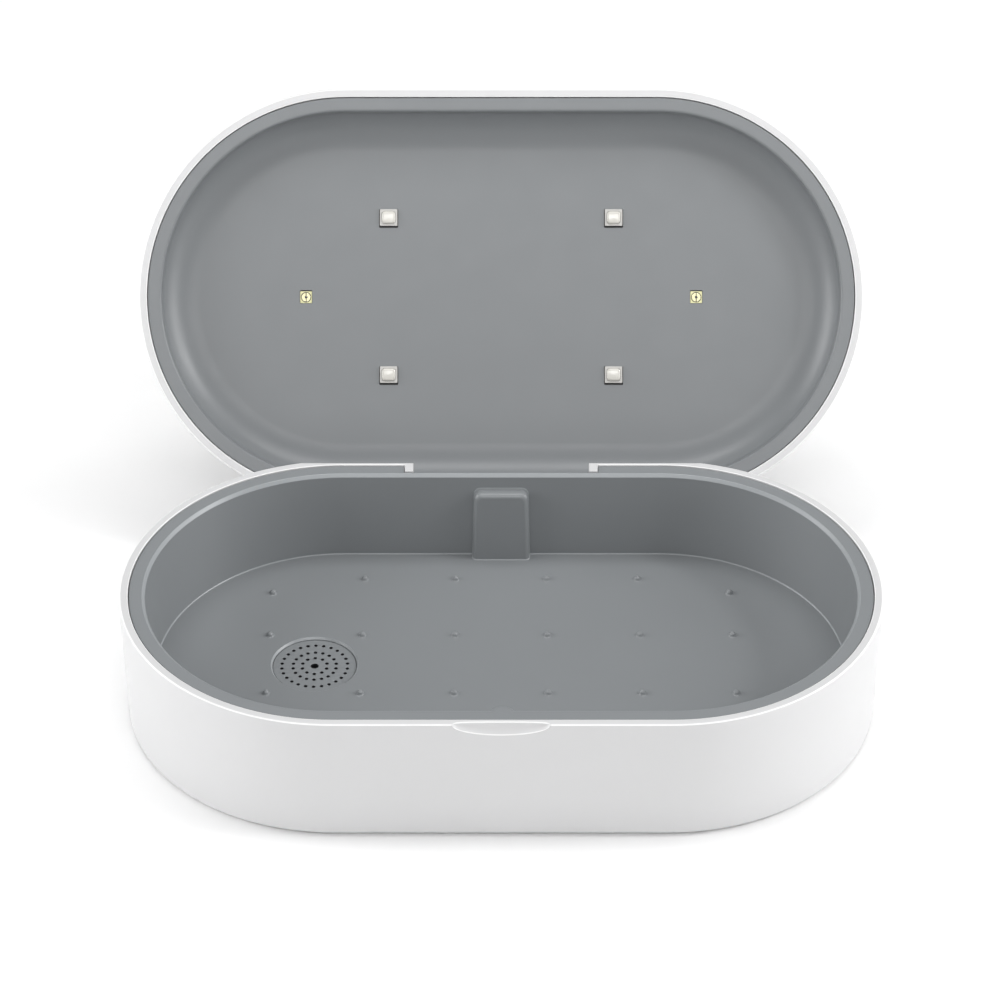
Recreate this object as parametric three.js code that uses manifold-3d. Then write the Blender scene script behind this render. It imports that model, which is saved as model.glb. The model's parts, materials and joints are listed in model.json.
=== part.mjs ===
// Oval toothbrush sanitizer box: a white tub with a grey tray and an aroma diffuser, and a hinged lid
// whose grey liner carries four white lamps and two ultraviolet emitters.
// Millimetres, +Z up, +X to the right, +Y to the back. The origin is the centre of the pad it rests on.
// The lid group is built in its closed place over the tub and then turned open about the hinge.

import * as THREE from 'three';
import { mergeVertices } from 'three/addons/utils/BufferGeometryUtils.js';
import Module from 'manifold-3d';

const wasm = await Module();
wasm.setup();

// ---- driving dimensions ----

const LENGTH = 210;
const WIDTH = 120;
const R_OUT = WIDTH / 2; // radius of the oval's round ends
const CORE = LENGTH / 2 - R_OUT; // half the distance between the centres of the round ends
const END_SEGMENTS = 16; // facets of each round end

const RIM_Z = 39.4; // top of the tub
const RIM_WIDTH = 2.45; // white band seen from above
const SHELL_Z = 0.8; // underside of the tub, held up by the pad
const FLOOR_THICK = 2;
const DRAFT = 0.9; // the tub is this much narrower at the bottom, on each side
const EDGE_R = 0.6; // fillet on the outer edge of both rims

const TRAY_FLOOR_Z = 12.4;
const TRAY_THICK = 1.5;
const TRAY_TOP_Z = RIM_Z - 0.3;
const TRAY_FLANGE_IN = 53.7; // where the flat flange turns down into the chamber
const TRAY_EDGE_R = 0.8;
const TRAY_FLOOR_R = 51.1;
const FLANGE_THICK = 2.1;

const OPEN_ANGLE = THREE.MathUtils.degToRad(125.65);
const HINGE_Y = 56.93;
const HINGE_Z = 29.95;
const PIN_R = 1;
const BORE_R = 1.06;
const KNUCKLE_R = 2.7;
const NOTCH_HALF = 25.1; // half width of the gap in the back rim
const EAR_HALF = 27.55; // outer side of the two ears that hold the pins
const KNUCKLE_HALF = 24.75;
const KNUCKLE_INNER = 4.5; // the middle is left open for the cable
const RIBBON_WIDTH = 5;

const LID_GAP = 0.35; // between the two rims when shut
const LID_RIM_Z = RIM_Z + LID_GAP;
const LID_PANEL_Z = LID_RIM_Z + 9; // the liner's flat panel, seen from inside
const LINER_THICK = 1.4;
const LID_CEILING_Z = 53.8;
const LID_TOP_Z = 55.6;
const LID_TOP_R = 4.6;
const BOARD_Z = LID_PANEL_Z + LINER_THICK + 0.3; // underside of the lamp board
const BOARD_THICK = 1;

const WHITE_LAMPS = [[-32.8, -23.2], [32.8, -23.2], [-32.8, 22.6], [32.8, 22.6]];
const UV_LAMPS = [[-56.9, 0], [56.9, 0]];
const WHITE_LAMP_SIDE = 5.1;
const UV_LAMP_SIDE = 3.5;
const WINDOW_GAP = 0.25; // clear space round a lamp in its window

const AROMA_X = -52;
const BUMP_STEP = 26;
const CASE_SCREWS = [[-78, -24], [78, -24], [-78, 24], [78, 24]];
const BOARD_SCREWS = [[-33, 28], [33, 28]];
const MAGNET_X = 22;
const SOCKET_Z = 7.35;

const FINISH = {
  whiteShell: [0xf1f1f0, 0.38, 0],
  greyLiner: [0x8d9295, 0.5, 0],
  greyTray: [0x7f8487, 0.5, 0],
  silicone: [0x6b6e70, 0.8, 0],
  felt: [0xd9d3c4, 0.95, 0],
  board: [0x1f6a3c, 0.55, 0],
  whiteBoard: [0xe9eae8, 0.5, 0],
  steel: [0xb4b7ba, 0.3, 1],
  magnet: [0x9fa2a6, 0.25, 1],
  chip: [0x17181a, 0.45, 0],
  connector: [0xe4dfd0, 0.5, 0],
  ribbon: [0xb5731d, 0.45, 0],
  lampBody: [0xf4f3ee, 0.4, 0],
  lampLens: [0xfdfcf2, 0.1, 0],
  gold: [0xd8a741, 0.3, 1],
  quartz: [0xdfe4ea, 0.05, 0],
  lightGuide: [0xe6edf2, 0.3, 0],
};

// ---- solids ----

function solid(geometry) {
  const bare = geometry.clone();
  bare.deleteAttribute('normal');
  bare.deleteAttribute('uv');
  const merged = mergeVertices(bare, 1e-4);
  const index = merged.index.array;
  const kept = [];
  for (let i = 0; i < index.length; i += 3) {
    const [a, b, c] = [index[i], index[i + 1], index[i + 2]];
    if (a !== b && b !== c && c !== a) kept.push(a, b, c);
  }
  return new wasm.Manifold(new wasm.Mesh({
    numProp: 3,
    vertProperties: merged.attributes.position.array,
    triVerts: new Uint32Array(kept),
  }));
}

function geometryOf(body) {
  const mesh = body.getMesh();
  const geometry = new THREE.BufferGeometry();
  geometry.setAttribute('position', new THREE.BufferAttribute(new Float32Array(mesh.vertProperties), 3));
  geometry.setIndex(new THREE.BufferAttribute(new Uint32Array(mesh.triVerts), 1));
  geometry.computeVertexNormals();
  return geometry;
}

const join = (first, ...rest) => rest.reduce((sum, body) => sum.add(body), first);
const cut = (first, ...rest) => rest.reduce((sum, body) => sum.subtract(body), first);

// Sweeps a profile of (radius, height) points round the oval. A point at radius 0 lies on the line
// between the centres of the round ends. The profile runs outwards along the bottom and up.
function ovalSolid(profile) {
  const ring = [];
  for (const side of [1, -1]) {
    for (let i = 0; i <= END_SEGMENTS; i += 1) {
      const angle = -side * Math.PI / 2 + Math.PI * i / END_SEGMENTS;
      ring.push([side * CORE, Math.cos(angle), Math.sin(angle)]);
    }
  }
  const positions = [];
  for (const point of profile) {
    for (const [x, c, s] of ring) positions.push(x + point.x * c, point.x * s, point.y);
  }
  const count = ring.length;
  const index = [];
  for (let j = 0; j + 1 < profile.length; j += 1) {
    for (let i = 0; i < count; i += 1) {
      const next = (i + 1) % count;
      const [a, b] = [j * count + i, j * count + next];
      const [c, d] = [a + count, b + count];
      index.push(a, b, d, a, d, c);
    }
  }
  const geometry = new THREE.BufferGeometry();
  geometry.setAttribute('position', new THREE.Float32BufferAttribute(positions, 3));
  geometry.setIndex(index);
  return solid(geometry);
}

function box(xLow, xHigh, yLow, yHigh, zLow, zHigh) {
  const geometry = new THREE.BoxGeometry(xHigh - xLow, yHigh - yLow, zHigh - zLow);
  return solid(geometry.translate((xLow + xHigh) / 2, (yLow + yHigh) / 2, (zLow + zHigh) / 2));
}

function post(x, y, zLow, zHigh, radius, sides = 24) {
  const geometry = new THREE.CylinderGeometry(radius, radius, zHigh - zLow, sides);
  return solid(geometry.rotateX(Math.PI / 2).translate(x, y, (zLow + zHigh) / 2));
}

function axle(xLow, xHigh, radius, sides = 16) {
  const geometry = new THREE.CylinderGeometry(radius, radius, xHigh - xLow, sides);
  return solid(geometry.rotateZ(Math.PI / 2).translate((xLow + xHigh) / 2, HINGE_Y, HINGE_Z));
}

// A prism along X from a polygon of (y, z) points.
function prismAlongX(points, xLow, xHigh) {
  const shape = new THREE.Shape(points.map(([y, z]) => new THREE.Vector2(y, z)));
  const geometry = new THREE.ExtrudeGeometry(shape, { depth: xHigh - xLow, bevelEnabled: false });
  const turn = new THREE.Matrix4().makeBasis(
    new THREE.Vector3(0, 1, 0), new THREE.Vector3(0, 0, 1), new THREE.Vector3(1, 0, 0));
  return solid(geometry.applyMatrix4(turn).translate(xLow, 0, 0));
}

function roundedRectangle(width, height, radius) {
  const [w, h] = [width / 2, height / 2];
  const shape = new THREE.Shape();
  shape.absarc(w - radius, h - radius, radius, 0, Math.PI / 2);
  shape.absarc(radius - w, h - radius, radius, Math.PI / 2, Math.PI);
  shape.absarc(radius - w, radius - h, radius, Math.PI, Math.PI * 1.5);
  shape.absarc(w - radius, radius - h, radius, Math.PI * 1.5, Math.PI * 2);
  return shape;
}

function plate(shape, x, y, zLow, zHigh, curveSegments = 3) {
  const depth = zHigh - zLow;
  const geometry = new THREE.ExtrudeGeometry(shape, { depth, bevelEnabled: false, curveSegments });
  return solid(geometry.translate(x, y, zLow));
}

// A plate standing in the XZ plane, from yLow back to yHigh.
function uprightPlate(shape, x, z, yLow, yHigh, curveSegments = 3) {
  const depth = yHigh - yLow;
  const geometry = new THREE.ExtrudeGeometry(shape, { depth, bevelEnabled: false, curveSegments });
  return solid(geometry.rotateX(Math.PI / 2).translate(x, yHigh, z));
}

// A round piece turned about a vertical axis at (x, y), from (radius, z) points.
function turned(points, x, y, sides = 24) {
  const geometry = new THREE.LatheGeometry(points.map(([r, z]) => new THREE.Vector2(r, z)), sides);
  return solid(geometry.rotateX(Math.PI / 2).translate(x, y, 0));
}

// A flat ribbon that follows (y, z) points, centred on x = 0.
function ribbon(points, width, thickness) {
  const curve = new THREE.SplineCurve(points.map(([y, z]) => new THREE.Vector2(y, z)));
  const steps = points.length * 3;
  const [left, right] = [[], []];
  for (let i = 0; i <= steps; i += 1) {
    const place = curve.getPoint(i / steps);
    const along = curve.getTangent(i / steps);
    const across = new THREE.Vector2(-along.y, along.x).multiplyScalar(thickness / 2);
    left.push([place.x + across.x, place.y + across.y]);
    right.push([place.x - across.x, place.y - across.y]);
  }
  return prismAlongX([...left, ...right.reverse()], -width / 2, width / 2);
}

// ---- the tub and its pieces ----

function baseShell() {
  const profile = new THREE.Path();
  const bottomR = R_OUT - DRAFT;
  const inner = R_OUT - RIM_WIDTH;
  const floorTop = SHELL_Z + FLOOR_THICK;
  profile.moveTo(0, SHELL_Z);
  profile.lineTo(bottomR - 1.2, SHELL_Z);
  profile.absarc(bottomR - 1.2, SHELL_Z + 1.2, 1.2, -Math.PI / 2, 0);
  profile.lineTo(R_OUT, RIM_Z - EDGE_R);
  profile.absarc(R_OUT - EDGE_R, RIM_Z - EDGE_R, EDGE_R, 0, Math.PI / 2);
  profile.lineTo(inner, RIM_Z);
  profile.lineTo(inner, TRAY_TOP_Z - FLANGE_THICK - 0.1);
  profile.lineTo(inner - 0.95, TRAY_TOP_Z - FLANGE_THICK - 0.1);
  profile.lineTo(inner - 1.35, floorTop + 1);
  profile.lineTo(inner - 2.35, floorTop);
  profile.lineTo(0, floorTop);
  const tub = ovalSolid(profile.getPoints(2));

  // The two ears that hold the hinge pins, and the shelf that closes the pocket under the knuckles.
  const additions = [];
  for (const side of [-1, 1]) {
    const [low, high] = side > 0 ? [NOTCH_HALF, EAR_HALF] : [-EAR_HALF, -NOTCH_HALF];
    additions.push(box(low, high, 54.4, 58, 21, RIM_Z));
    const [shelfLow, shelfHigh] = side > 0 ? [4, NOTCH_HALF + 1] : [-NOTCH_HALF - 1, -4];
    additions.push(box(shelfLow, shelfHigh, 54.4, 57.5, 21, 22.4));
    // The cradle of the catch magnet, on the inside of the front wall.
    const x = side * MAGNET_X;
    additions.push(box(x - 6.4, x - 5.2, -57, -54.5, 29.8, 36.4));
    additions.push(box(x + 5.2, x + 6.4, -57, -54.5, 29.8, 36.4));
    additions.push(box(x - 6.4, x + 6.4, -57, -54.5, 29.8, 31.2));
  }
  for (const [x, y] of CASE_SCREWS) additions.push(post(x, y, floorTop - 0.5, 4.2, 4.4));
  for (const [x, y] of BOARD_SCREWS) additions.push(post(x, y, floorTop - 0.5, 4.3, 2.6));

  // The notch for the lid's tongue: its sloping bottom is the stop that the open lid comes to rest on.
  const slope = Math.tan(OPEN_ANGLE - Math.PI / 2);
  const stopZ = (y) => 27.35 - (y - 55.07) * slope;
  const notch = prismAlongX(
    [[52, RIM_Z + 1], [52, stopZ(55.07)], [55.07, stopZ(55.07)], [61, stopZ(61)], [61, RIM_Z + 1]],
    -NOTCH_HALF, NOTCH_HALF);
  // Relief along the straight back, where the lid's edge swings past the rim.
  const relief = prismAlongX([[R_OUT - 1.7, RIM_Z + 0.1], [R_OUT + 1, RIM_Z + 0.1], [R_OUT + 1, RIM_Z - 2.6]],
    -62, 62);
  // Finger scoop in the middle of the front edge: a shallow bowl as wide as a fingertip.
  const bowl = new THREE.SphereGeometry(1, 24, 16).scale(12.9, 1.35, 3.6);
  const scoop = solid(bowl.translate(0, -R_OUT, RIM_Z));
  const removals = [
    notch,
    relief,
    scoop,
    axle(-EAR_HALF - 1, EAR_HALF + 1, BORE_R),
    uprightPlate(roundedRectangle(9.5, 3.9, 1.6), 0, SOCKET_Z, 54, 62),
    uprightPlate(roundedRectangle(12.4, 6.8, 2.2), 0, SOCKET_Z, 58.4, 62),
    padOutline(0.3).translate([0, 0, -0.1]).subtract(box(-200, 200, -200, 200, SHELL_Z + 0.4, 10)),
  ];
  for (const [x, y] of CASE_SCREWS) {
    removals.push(post(x, y, 0, 2.7, 2.6));
    removals.push(post(x, y, 2, 5, 1.4, 16));
  }
  for (const [x, y] of BOARD_SCREWS) removals.push(post(x, y, 2, 5, 0.95, 12));
  return cut(join(tub, ...additions), ...removals);
}

// The pad's outline keeps to the tub's, well inside its edge.
function padOutline(clearance) {
  const r = 46 + clearance;
  const points = [[0, 0], [r - 0.5, 0], [r, 0.5], [r, 3], [0, 3]];
  return ovalSolid(points.map(([x, z]) => new THREE.Vector2(x, z)));
}

function restPad() {
  return padOutline(0).subtract(box(-200, 200, -200, 200, SHELL_Z + 0.35, 10));
}

function innerTray() {
  const wallTop = TRAY_FLANGE_IN - TRAY_EDGE_R;
  const flangeOut = R_OUT - RIM_WIDTH - 0.2;
  const under = TRAY_FLOOR_Z - 2;
  const profile = new THREE.Path();
  profile.moveTo(0, under);
  profile.lineTo(TRAY_FLOOR_R + TRAY_THICK - 1, under);
  profile.lineTo(TRAY_FLOOR_R + TRAY_THICK, under + 1);
  profile.lineTo(wallTop + TRAY_THICK, TRAY_TOP_Z - FLANGE_THICK);
  profile.lineTo(flangeOut, TRAY_TOP_Z - FLANGE_THICK);
  profile.lineTo(flangeOut, TRAY_TOP_Z - 0.25);
  profile.lineTo(flangeOut - 0.25, TRAY_TOP_Z);
  profile.lineTo(TRAY_FLANGE_IN, TRAY_TOP_Z);
  profile.absarc(TRAY_FLANGE_IN, TRAY_TOP_Z - TRAY_EDGE_R, TRAY_EDGE_R, Math.PI / 2, Math.PI);
  profile.lineTo(TRAY_FLOOR_R, TRAY_FLOOR_Z);
  profile.lineTo(0, TRAY_FLOOR_Z);

  // The half-round catch boss just breaks out of the middle of the front wall.
  const boss = cut(
    turned([[0, under + 1], [3.7, under + 1], [3.7, TRAY_TOP_Z - 1.2], [3.35, TRAY_TOP_Z - 0.35],
      [2.5, TRAY_TOP_Z], [0, TRAY_TOP_Z]], 0.3, -54.6),
    box(-5, 5, -60, -54, 0, RIM_Z));
  const additions = [cableDuct(16.3, 1.3, 0), boss, post(AROMA_X, 0, 3.2, under + 0.5, 13.2, 32)];
  for (const [x, y] of bumpPlaces()) {
    additions.push(solid(new THREE.SphereGeometry(1.1, 8, 4).rotateX(Math.PI / 2)
      .translate(x, y, TRAY_FLOOR_Z - 0.3)));
  }
  for (const [x, y] of CASE_SCREWS) additions.push(post(x, y, 4.4, under + 0.5, 3));

  const removals = [
    cableDuct(12.4, 0, 1.3),
    turned([[0, 4.4], [10.6, 4.4], [10.6, 10.4], [11.8, 10.4], [11.8, 12], [12.2, 12.41], [12.2, 13], [0, 13]],
      AROMA_X, 0, 32),
    box(-EAR_HALF - 0.2, EAR_HALF + 0.2, 54.15, 60, 28, 41),
  ];
  for (const [x, y] of CASE_SCREWS) removals.push(post(x, y, 4, 9.4, 1.2, 16));
  return cut(join(ovalSolid(profile.getPoints(3)), ...additions), ...removals);
}

// Rows of small studs that hold the brushes off the floor; the end columns are drawn in to follow the curve.
function bumpPlaces() {
  const places = [];
  for (const column of [-2.5, -1.5, -0.5, 0.5, 1.5, 2.5]) {
    for (const row of [-1.5, -0.5, 0.5, 1.5]) {
      const drawnIn = Math.abs(column) > 2 && Math.abs(row) > 1;
      const y = drawnIn ? Math.sign(row) * 32.5 : row * BUMP_STEP;
      places.push([column * BUMP_STEP, y]);
    }
  }
  return places;
}

// The block on the tray's back wall that hides the cable. Its hollow is the same block drawn smaller.
function cableDuct(width, bevel, inset) {
  const height = inset ? 20.2 : 22;
  const [half, top] = [width / 2, width / 2 - 0.5];
  const shape = new THREE.Shape();
  shape.moveTo(-half, inset ? -4 : 0);
  shape.lineTo(half, inset ? -4 : 0);
  shape.lineTo(top, height - 2);
  shape.absarc(top - 2, height - 2, 2, 0, Math.PI / 2);
  shape.absarc(2 - top, height - 2, 2, Math.PI / 2, Math.PI);
  const depth = inset ? 6 : 2.6;
  const geometry = new THREE.ExtrudeGeometry(shape, {
    depth,
    bevelEnabled: bevel > 0,
    bevelThickness: bevel,
    bevelSize: bevel,
    bevelOffset: -bevel,
    bevelSegments: 2,
    curveSegments: 3,
  });
  const wallRun = TRAY_FLANGE_IN - TRAY_EDGE_R - TRAY_FLOOR_R;
  const lean = Math.atan2(wallRun, TRAY_TOP_Z - TRAY_EDGE_R - TRAY_FLOOR_Z);
  geometry.rotateX(Math.PI / 2).translate(0, depth + bevel, 0);
  geometry.rotateX(-lean).translate(0, TRAY_FLOOR_R - 2.9 + inset, TRAY_FLOOR_Z);
  return solid(geometry);
}

function aromaGrille() {
  const profile = [[0, 10.5], [11.3, 10.5], [11.6, 10.8], [11.6, 11.4], [11.3, 11.7], [0, 11.7]];
  const disc = turned(profile, AROMA_X, 0, 32);
  const holes = [post(AROMA_X, 0, 9, 13, 1.1, 12)];
  for (const [count, radius] of [[10, 3.54], [18, 6.05], [26, 9.2]]) {
    for (let i = 0; i < count; i += 1) {
      const angle = Math.PI / 2 + 2 * Math.PI * i / count;
      holes.push(post(AROMA_X + radius * Math.cos(angle), radius * Math.sin(angle), 9, 13, 0.5, 6));
    }
  }
  return cut(disc, ...holes);
}

function aromaPad() {
  return turned([[0, 4.6], [9.8, 4.6], [10.3, 5.1], [10.3, 8.8], [9.8, 9.3], [0, 9.3]], AROMA_X, 0, 32);
}

function mainBoard() {
  const holes = BOARD_SCREWS.map(([x, y]) => post(x, y, 4, 6, 1.1, 12));
  return cut(plate(roundedRectangle(74, 30, 2), 0, 38.5, 4.4, 5.6), ...holes);
}

function socketShell() {
  const opening = roundedRectangle(8.34, 2.66, 1.1);
  const outline = roundedRectangle(8.94, 3.26, 1.4);
  outline.holes.push(new THREE.Path(opening.getPoints(4).reverse()));
  return uprightPlate(outline, 0, SOCKET_Z, 51.2, 58.5, 4);
}

function socketTongue() {
  const block = uprightPlate(roundedRectangle(8.1, 2.42, 1), 0, SOCKET_Z, 51.4, 53);
  return join(block, box(-3.35, 3.35, 52.5, 57.9, SOCKET_Z - 0.35, SOCKET_Z + 0.35));
}

function chamferedBlock(xSize, ySize, x, y, zLow, zHigh) {
  return join(
    box(x - xSize / 2, x + xSize / 2, y - ySize / 2, y + ySize / 2, zLow, zHigh - 0.15),
    box(x - xSize / 2 + 0.15, x + xSize / 2 - 0.15, y - ySize / 2 + 0.15, y + ySize / 2 - 0.15, zLow, zHigh));
}

function boostCoil() {
  const core = plate(roundedRectangle(6, 6, 1), 22, 42, 5.7, 6.2);
  return join(core, post(22, 42, 6, 8.4, 2.1), plate(roundedRectangle(6, 6, 1), 22, 42, 8.2, 8.7));
}

function caseScrew(x, y) {
  const head = [[0, 1.3], [2, 1.3], [2.2, 1.5], [2.2, 2.65]];
  const profile = [...head, [1.1, 2.65], [1.1, 8.4], [0.4, 9.1], [0, 9.1]];
  const body = turned(profile, x, y, 8);
  return cut(body, ...crossSlot(x, y, 1.2, 1, 2));
}

function boardScrew(x, y) {
  const shank = [[0, 2.3], [0.5, 2.3], [0.85, 2.7], [0.85, 5.65]];
  const profile = [...shank, [1.8, 5.65], [1.8, 6.5], [1.4, 6.8], [0, 6.8]];
  const body = turned(profile, x, y, 8);
  return cut(body, ...crossSlot(x, y, 1, 6.2, 7));
}

function crossSlot(x, y, half, zLow, zHigh) {
  return [
    box(x - half, x + half, y - 0.25, y + 0.25, zLow, zHigh),
    box(x - 0.25, x + 0.25, y - half, y + half, zLow, zHigh),
  ];
}

function magnetBar(x, yLow, yHigh, zLow, zHigh) {
  return uprightPlate(roundedRectangle(10, zHigh - zLow, 0.5), x, (zLow + zHigh) / 2, yLow, yHigh, 1);
}

// ---- the lid and its pieces, in their shut place ----

function lidShell() {
  const inner = R_OUT - RIM_WIDTH;
  const profile = new THREE.Path();
  profile.moveTo(0, LID_CEILING_Z);
  profile.lineTo(inner - 4, LID_CEILING_Z);
  profile.absarc(inner - 4, LID_CEILING_Z - 3.3, 3.3, Math.PI / 2, 0, true);
  profile.lineTo(inner - 0.7, LID_RIM_Z + 2.55);
  profile.lineTo(inner, LID_RIM_Z + 2.55);
  profile.lineTo(inner, LID_RIM_Z);
  profile.lineTo(R_OUT - EDGE_R, LID_RIM_Z);
  profile.absarc(R_OUT - EDGE_R, LID_RIM_Z + EDGE_R, EDGE_R, -Math.PI / 2, 0);
  profile.absarc(R_OUT - 0.3 - LID_TOP_R, LID_TOP_Z - LID_TOP_R, LID_TOP_R, 0, Math.PI / 2);
  profile.lineTo(0, LID_TOP_Z);
  const cover = ovalSolid(profile.getPoints(2));

  // The tongue that fills the notch in the tub, with a knuckle on each side of the cable,
  // and on its inner face a raised sleeve that the cable runs up through.
  const tongueIn = R_OUT - RIM_WIDTH - 0.2;
  const sleeveHalf = RIBBON_WIDTH / 2 + 2;
  const boreHalf = RIBBON_WIDTH / 2 + 0.4;
  const additions = [
    box(-KNUCKLE_HALF, KNUCKLE_HALF, tongueIn, R_OUT - 0.3, HINGE_Z, LID_RIM_Z + 1),
    box(-sleeveHalf, sleeveHalf, tongueIn - 1.8, tongueIn + 0.5, HINGE_Z + 2.6, LID_RIM_Z),
  ];
  const removals = [
    box(-KNUCKLE_INNER, KNUCKLE_INNER, 50, 61, HINGE_Z - 4, HINGE_Z + 2.6),
    box(-boreHalf, boreHalf, tongueIn - 1.2, tongueIn, HINGE_Z + 1, LID_RIM_Z + 1),
  ];
  for (const side of [-1, 1]) {
    const [low, high] = side > 0 ? [KNUCKLE_INNER, KNUCKLE_HALF] : [-KNUCKLE_HALF, -KNUCKLE_INNER];
    additions.push(axle(low, high, KNUCKLE_R, 24));
    const x = side * MAGNET_X;
    additions.push(box(x - 6.6, x - 5.4, -57.4, -55, LID_RIM_Z + 2.7, 48.2));
    additions.push(box(x + 5.4, x + 6.6, -57.4, -55, LID_RIM_Z + 2.7, 48.2));
  }
  removals.push(axle(-KNUCKLE_HALF - 1, KNUCKLE_HALF + 1, BORE_R));
  removals.push(prismAlongX([[R_OUT - 1.4, LID_RIM_Z - 0.1], [R_OUT + 1, LID_RIM_Z - 0.1],
    [R_OUT + 1, LID_RIM_Z + 2.3]], -62, -NOTCH_HALF));
  removals.push(prismAlongX([[R_OUT - 1.4, LID_RIM_Z - 0.1], [R_OUT + 1, LID_RIM_Z - 0.1],
    [R_OUT + 1, LID_RIM_Z + 2.3]], NOTCH_HALF, 62));
  removals.push(post(0, 0, 50, 60, 8.3, 32));
  return cut(join(cover, ...additions), ...removals);
}

function lidLiner() {
  const flangeOut = R_OUT - RIM_WIDTH - 0.3;
  const flangeZ = LID_RIM_Z + 0.3;
  const edgeR = 0.8;
  const wallR = 53.3;
  const coveRun = 11; // the wall sweeps into the panel in a quarter ellipse
  const coveRise = LID_PANEL_Z - flangeZ - edgeR;
  const coveX = wallR - coveRun;
  const coveZ = flangeZ + edgeR;
  const [backRun, backRise] = [coveRun + LINER_THICK, coveRise + LINER_THICK];
  const flangeTop = LID_RIM_Z + 2.25;
  const profile = new THREE.Path();
  profile.moveTo(0, LID_PANEL_Z);
  profile.lineTo(coveX, LID_PANEL_Z);
  profile.absellipse(coveX, coveZ, coveRun, coveRise, Math.PI / 2, 0, true);
  profile.absarc(wallR + edgeR, coveZ, edgeR, Math.PI, Math.PI * 1.5);
  profile.lineTo(flangeOut, flangeZ);
  profile.lineTo(flangeOut, flangeTop);
  profile.absellipse(coveX, coveZ, backRun, backRise, Math.asin((flangeTop - coveZ) / backRise), Math.PI / 2);
  profile.lineTo(0, LID_PANEL_Z + LINER_THICK);
  const skin = ovalSolid(profile.getPoints(3));

  const pegs = pegPlaces().map(([x, y]) => post(x, y, LID_PANEL_Z + 1, BOARD_Z + BOARD_THICK + 0.5, 1.1, 12));
  const windows = [
    ...WHITE_LAMPS.map(([x, y]) => lampWindow(x, y, WHITE_LAMP_SIDE)),
    ...UV_LAMPS.map(([x, y]) => lampWindow(x, y, UV_LAMP_SIDE)),
  ];
  // The cable comes up through a slot in the back of the flange.
  const slot = box(-3.4, 3.4, 55.7, 58, LID_RIM_Z, LID_RIM_Z + 4);
  return cut(join(skin, ...pegs), ...windows, slot);
}

function lampWindow(x, y, side) {
  const half = side / 2 + WINDOW_GAP;
  return box(x - half, x + half, y - half, y + half, LID_PANEL_Z - 1, LID_PANEL_Z + LINER_THICK + 1);
}

const pegPlaces = () => [[-48, -18], [48, -18], [-48, 18], [48, 18]];

function ledBoard() {
  const top = BOARD_Z + BOARD_THICK;
  const outline = ovalSolid([[0, BOARD_Z], [28, BOARD_Z], [28, top], [0, top]]
    .map(([r, z]) => new THREE.Vector2(r, z)));
  const cableTab = box(-9, 9, 20, 47, BOARD_Z, top);
  const sensorTab = box(MAGNET_X - 5, MAGNET_X + 5, -51, -20, BOARD_Z, top);
  const holes = pegPlaces().map(([x, y]) => post(x, y, BOARD_Z - 1, BOARD_Z + 3, 1.4, 12));
  return cut(join(outline, cableTab, sensorTab), ...holes);
}

// A square lamp body that faces down into the chamber, with a round well for its lens.
function lampBody(x, y, side, wellR, proud) {
  const low = LID_PANEL_Z - proud;
  const body = plate(roundedRectangle(side, side, 0.3), x, y, low, BOARD_Z - 0.3, 1);
  return cut(body, post(x, y, low - 1, low + 0.8, wellR, 20));
}

function lampLens(x, y, radius, proud, dome) {
  const low = LID_PANEL_Z - proud;
  const points = [[0, low - dome]];
  for (const angle of [30, 60]) {
    const a = THREE.MathUtils.degToRad(angle);
    points.push([radius * Math.sin(a), low - dome * Math.cos(a)]);
  }
  points.push([radius, low], [radius, low + 0.6], [0, low + 0.6]);
  return turned(points, x, y, 20);
}

function tactSwitch() {
  const low = BOARD_Z + BOARD_THICK + 0.2;
  const body = plate(roundedRectangle(5.2, 5.2, 0.5), 0, 0, low, low + 0.7);
  return join(body, post(0, 0, low + 0.5, low + 0.95, 1.3, 16));
}

function statusRing() {
  const points = [[7.1, 54], [8, 54], [8, LID_TOP_Z], [7.1, LID_TOP_Z], [7.1, 54]];
  return turned(points, 0, 0, 32);
}

function powerButton() {
  const top = LID_TOP_Z - 0.1;
  const points = [[0, 53.2], [7.7, 53.2], [7.7, 53.7], [6.8, 53.7], [6.8, top - 0.3], [6.5, top],
    [5, top - 0.1], [2.6, top - 0.35], [0, top - 0.45]];
  return turned(points, 0, 0, 32);
}

// ---- the scene graph ----

function finish(kind) {
  const [color, roughness, metalness] = FINISH[kind];
  return new THREE.MeshStandardMaterial({ color, roughness, metalness });
}

function addPiece(group, name, body, kind) {
  const mesh = new THREE.Mesh(geometryOf(body), finish(kind));
  mesh.name = name;
  group.add(mesh);
}

const base = new THREE.Group();
addPiece(base, 'base_shell', baseShell(), 'whiteShell');
addPiece(base, 'rest_pad', restPad(), 'silicone');
addPiece(base, 'inner_tray', innerTray(), 'greyTray');
addPiece(base, 'aroma_grille', aromaGrille(), 'greyTray');
addPiece(base, 'aroma_pad', aromaPad(), 'felt');
addPiece(base, 'main_board', mainBoard(), 'board');
addPiece(base, 'controller_chip', chamferedBlock(7, 7, -18, 40, 5.7, 6.8), 'chip');
addPiece(base, 'boost_coil', boostCoil(), 'chip');
addPiece(base, 'usb_socket_shell', socketShell(), 'steel');
addPiece(base, 'usb_socket_tongue', socketTongue(), 'chip');
addPiece(base, 'base_connector', chamferedBlock(8, 3.4, 0, 43, 5.7, 7.4), 'connector');
addPiece(base, 'base_ribbon', ribbon(
  [[45, 6.6], [47.5, 6.9], [50.3, 8.8], [51.1, 12.5], [51.8, 20], [52.5, 26.6], [53.9, 29.4], [56.3, 29.95]],
  RIBBON_WIDTH, 0.35), 'ribbon');
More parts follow.
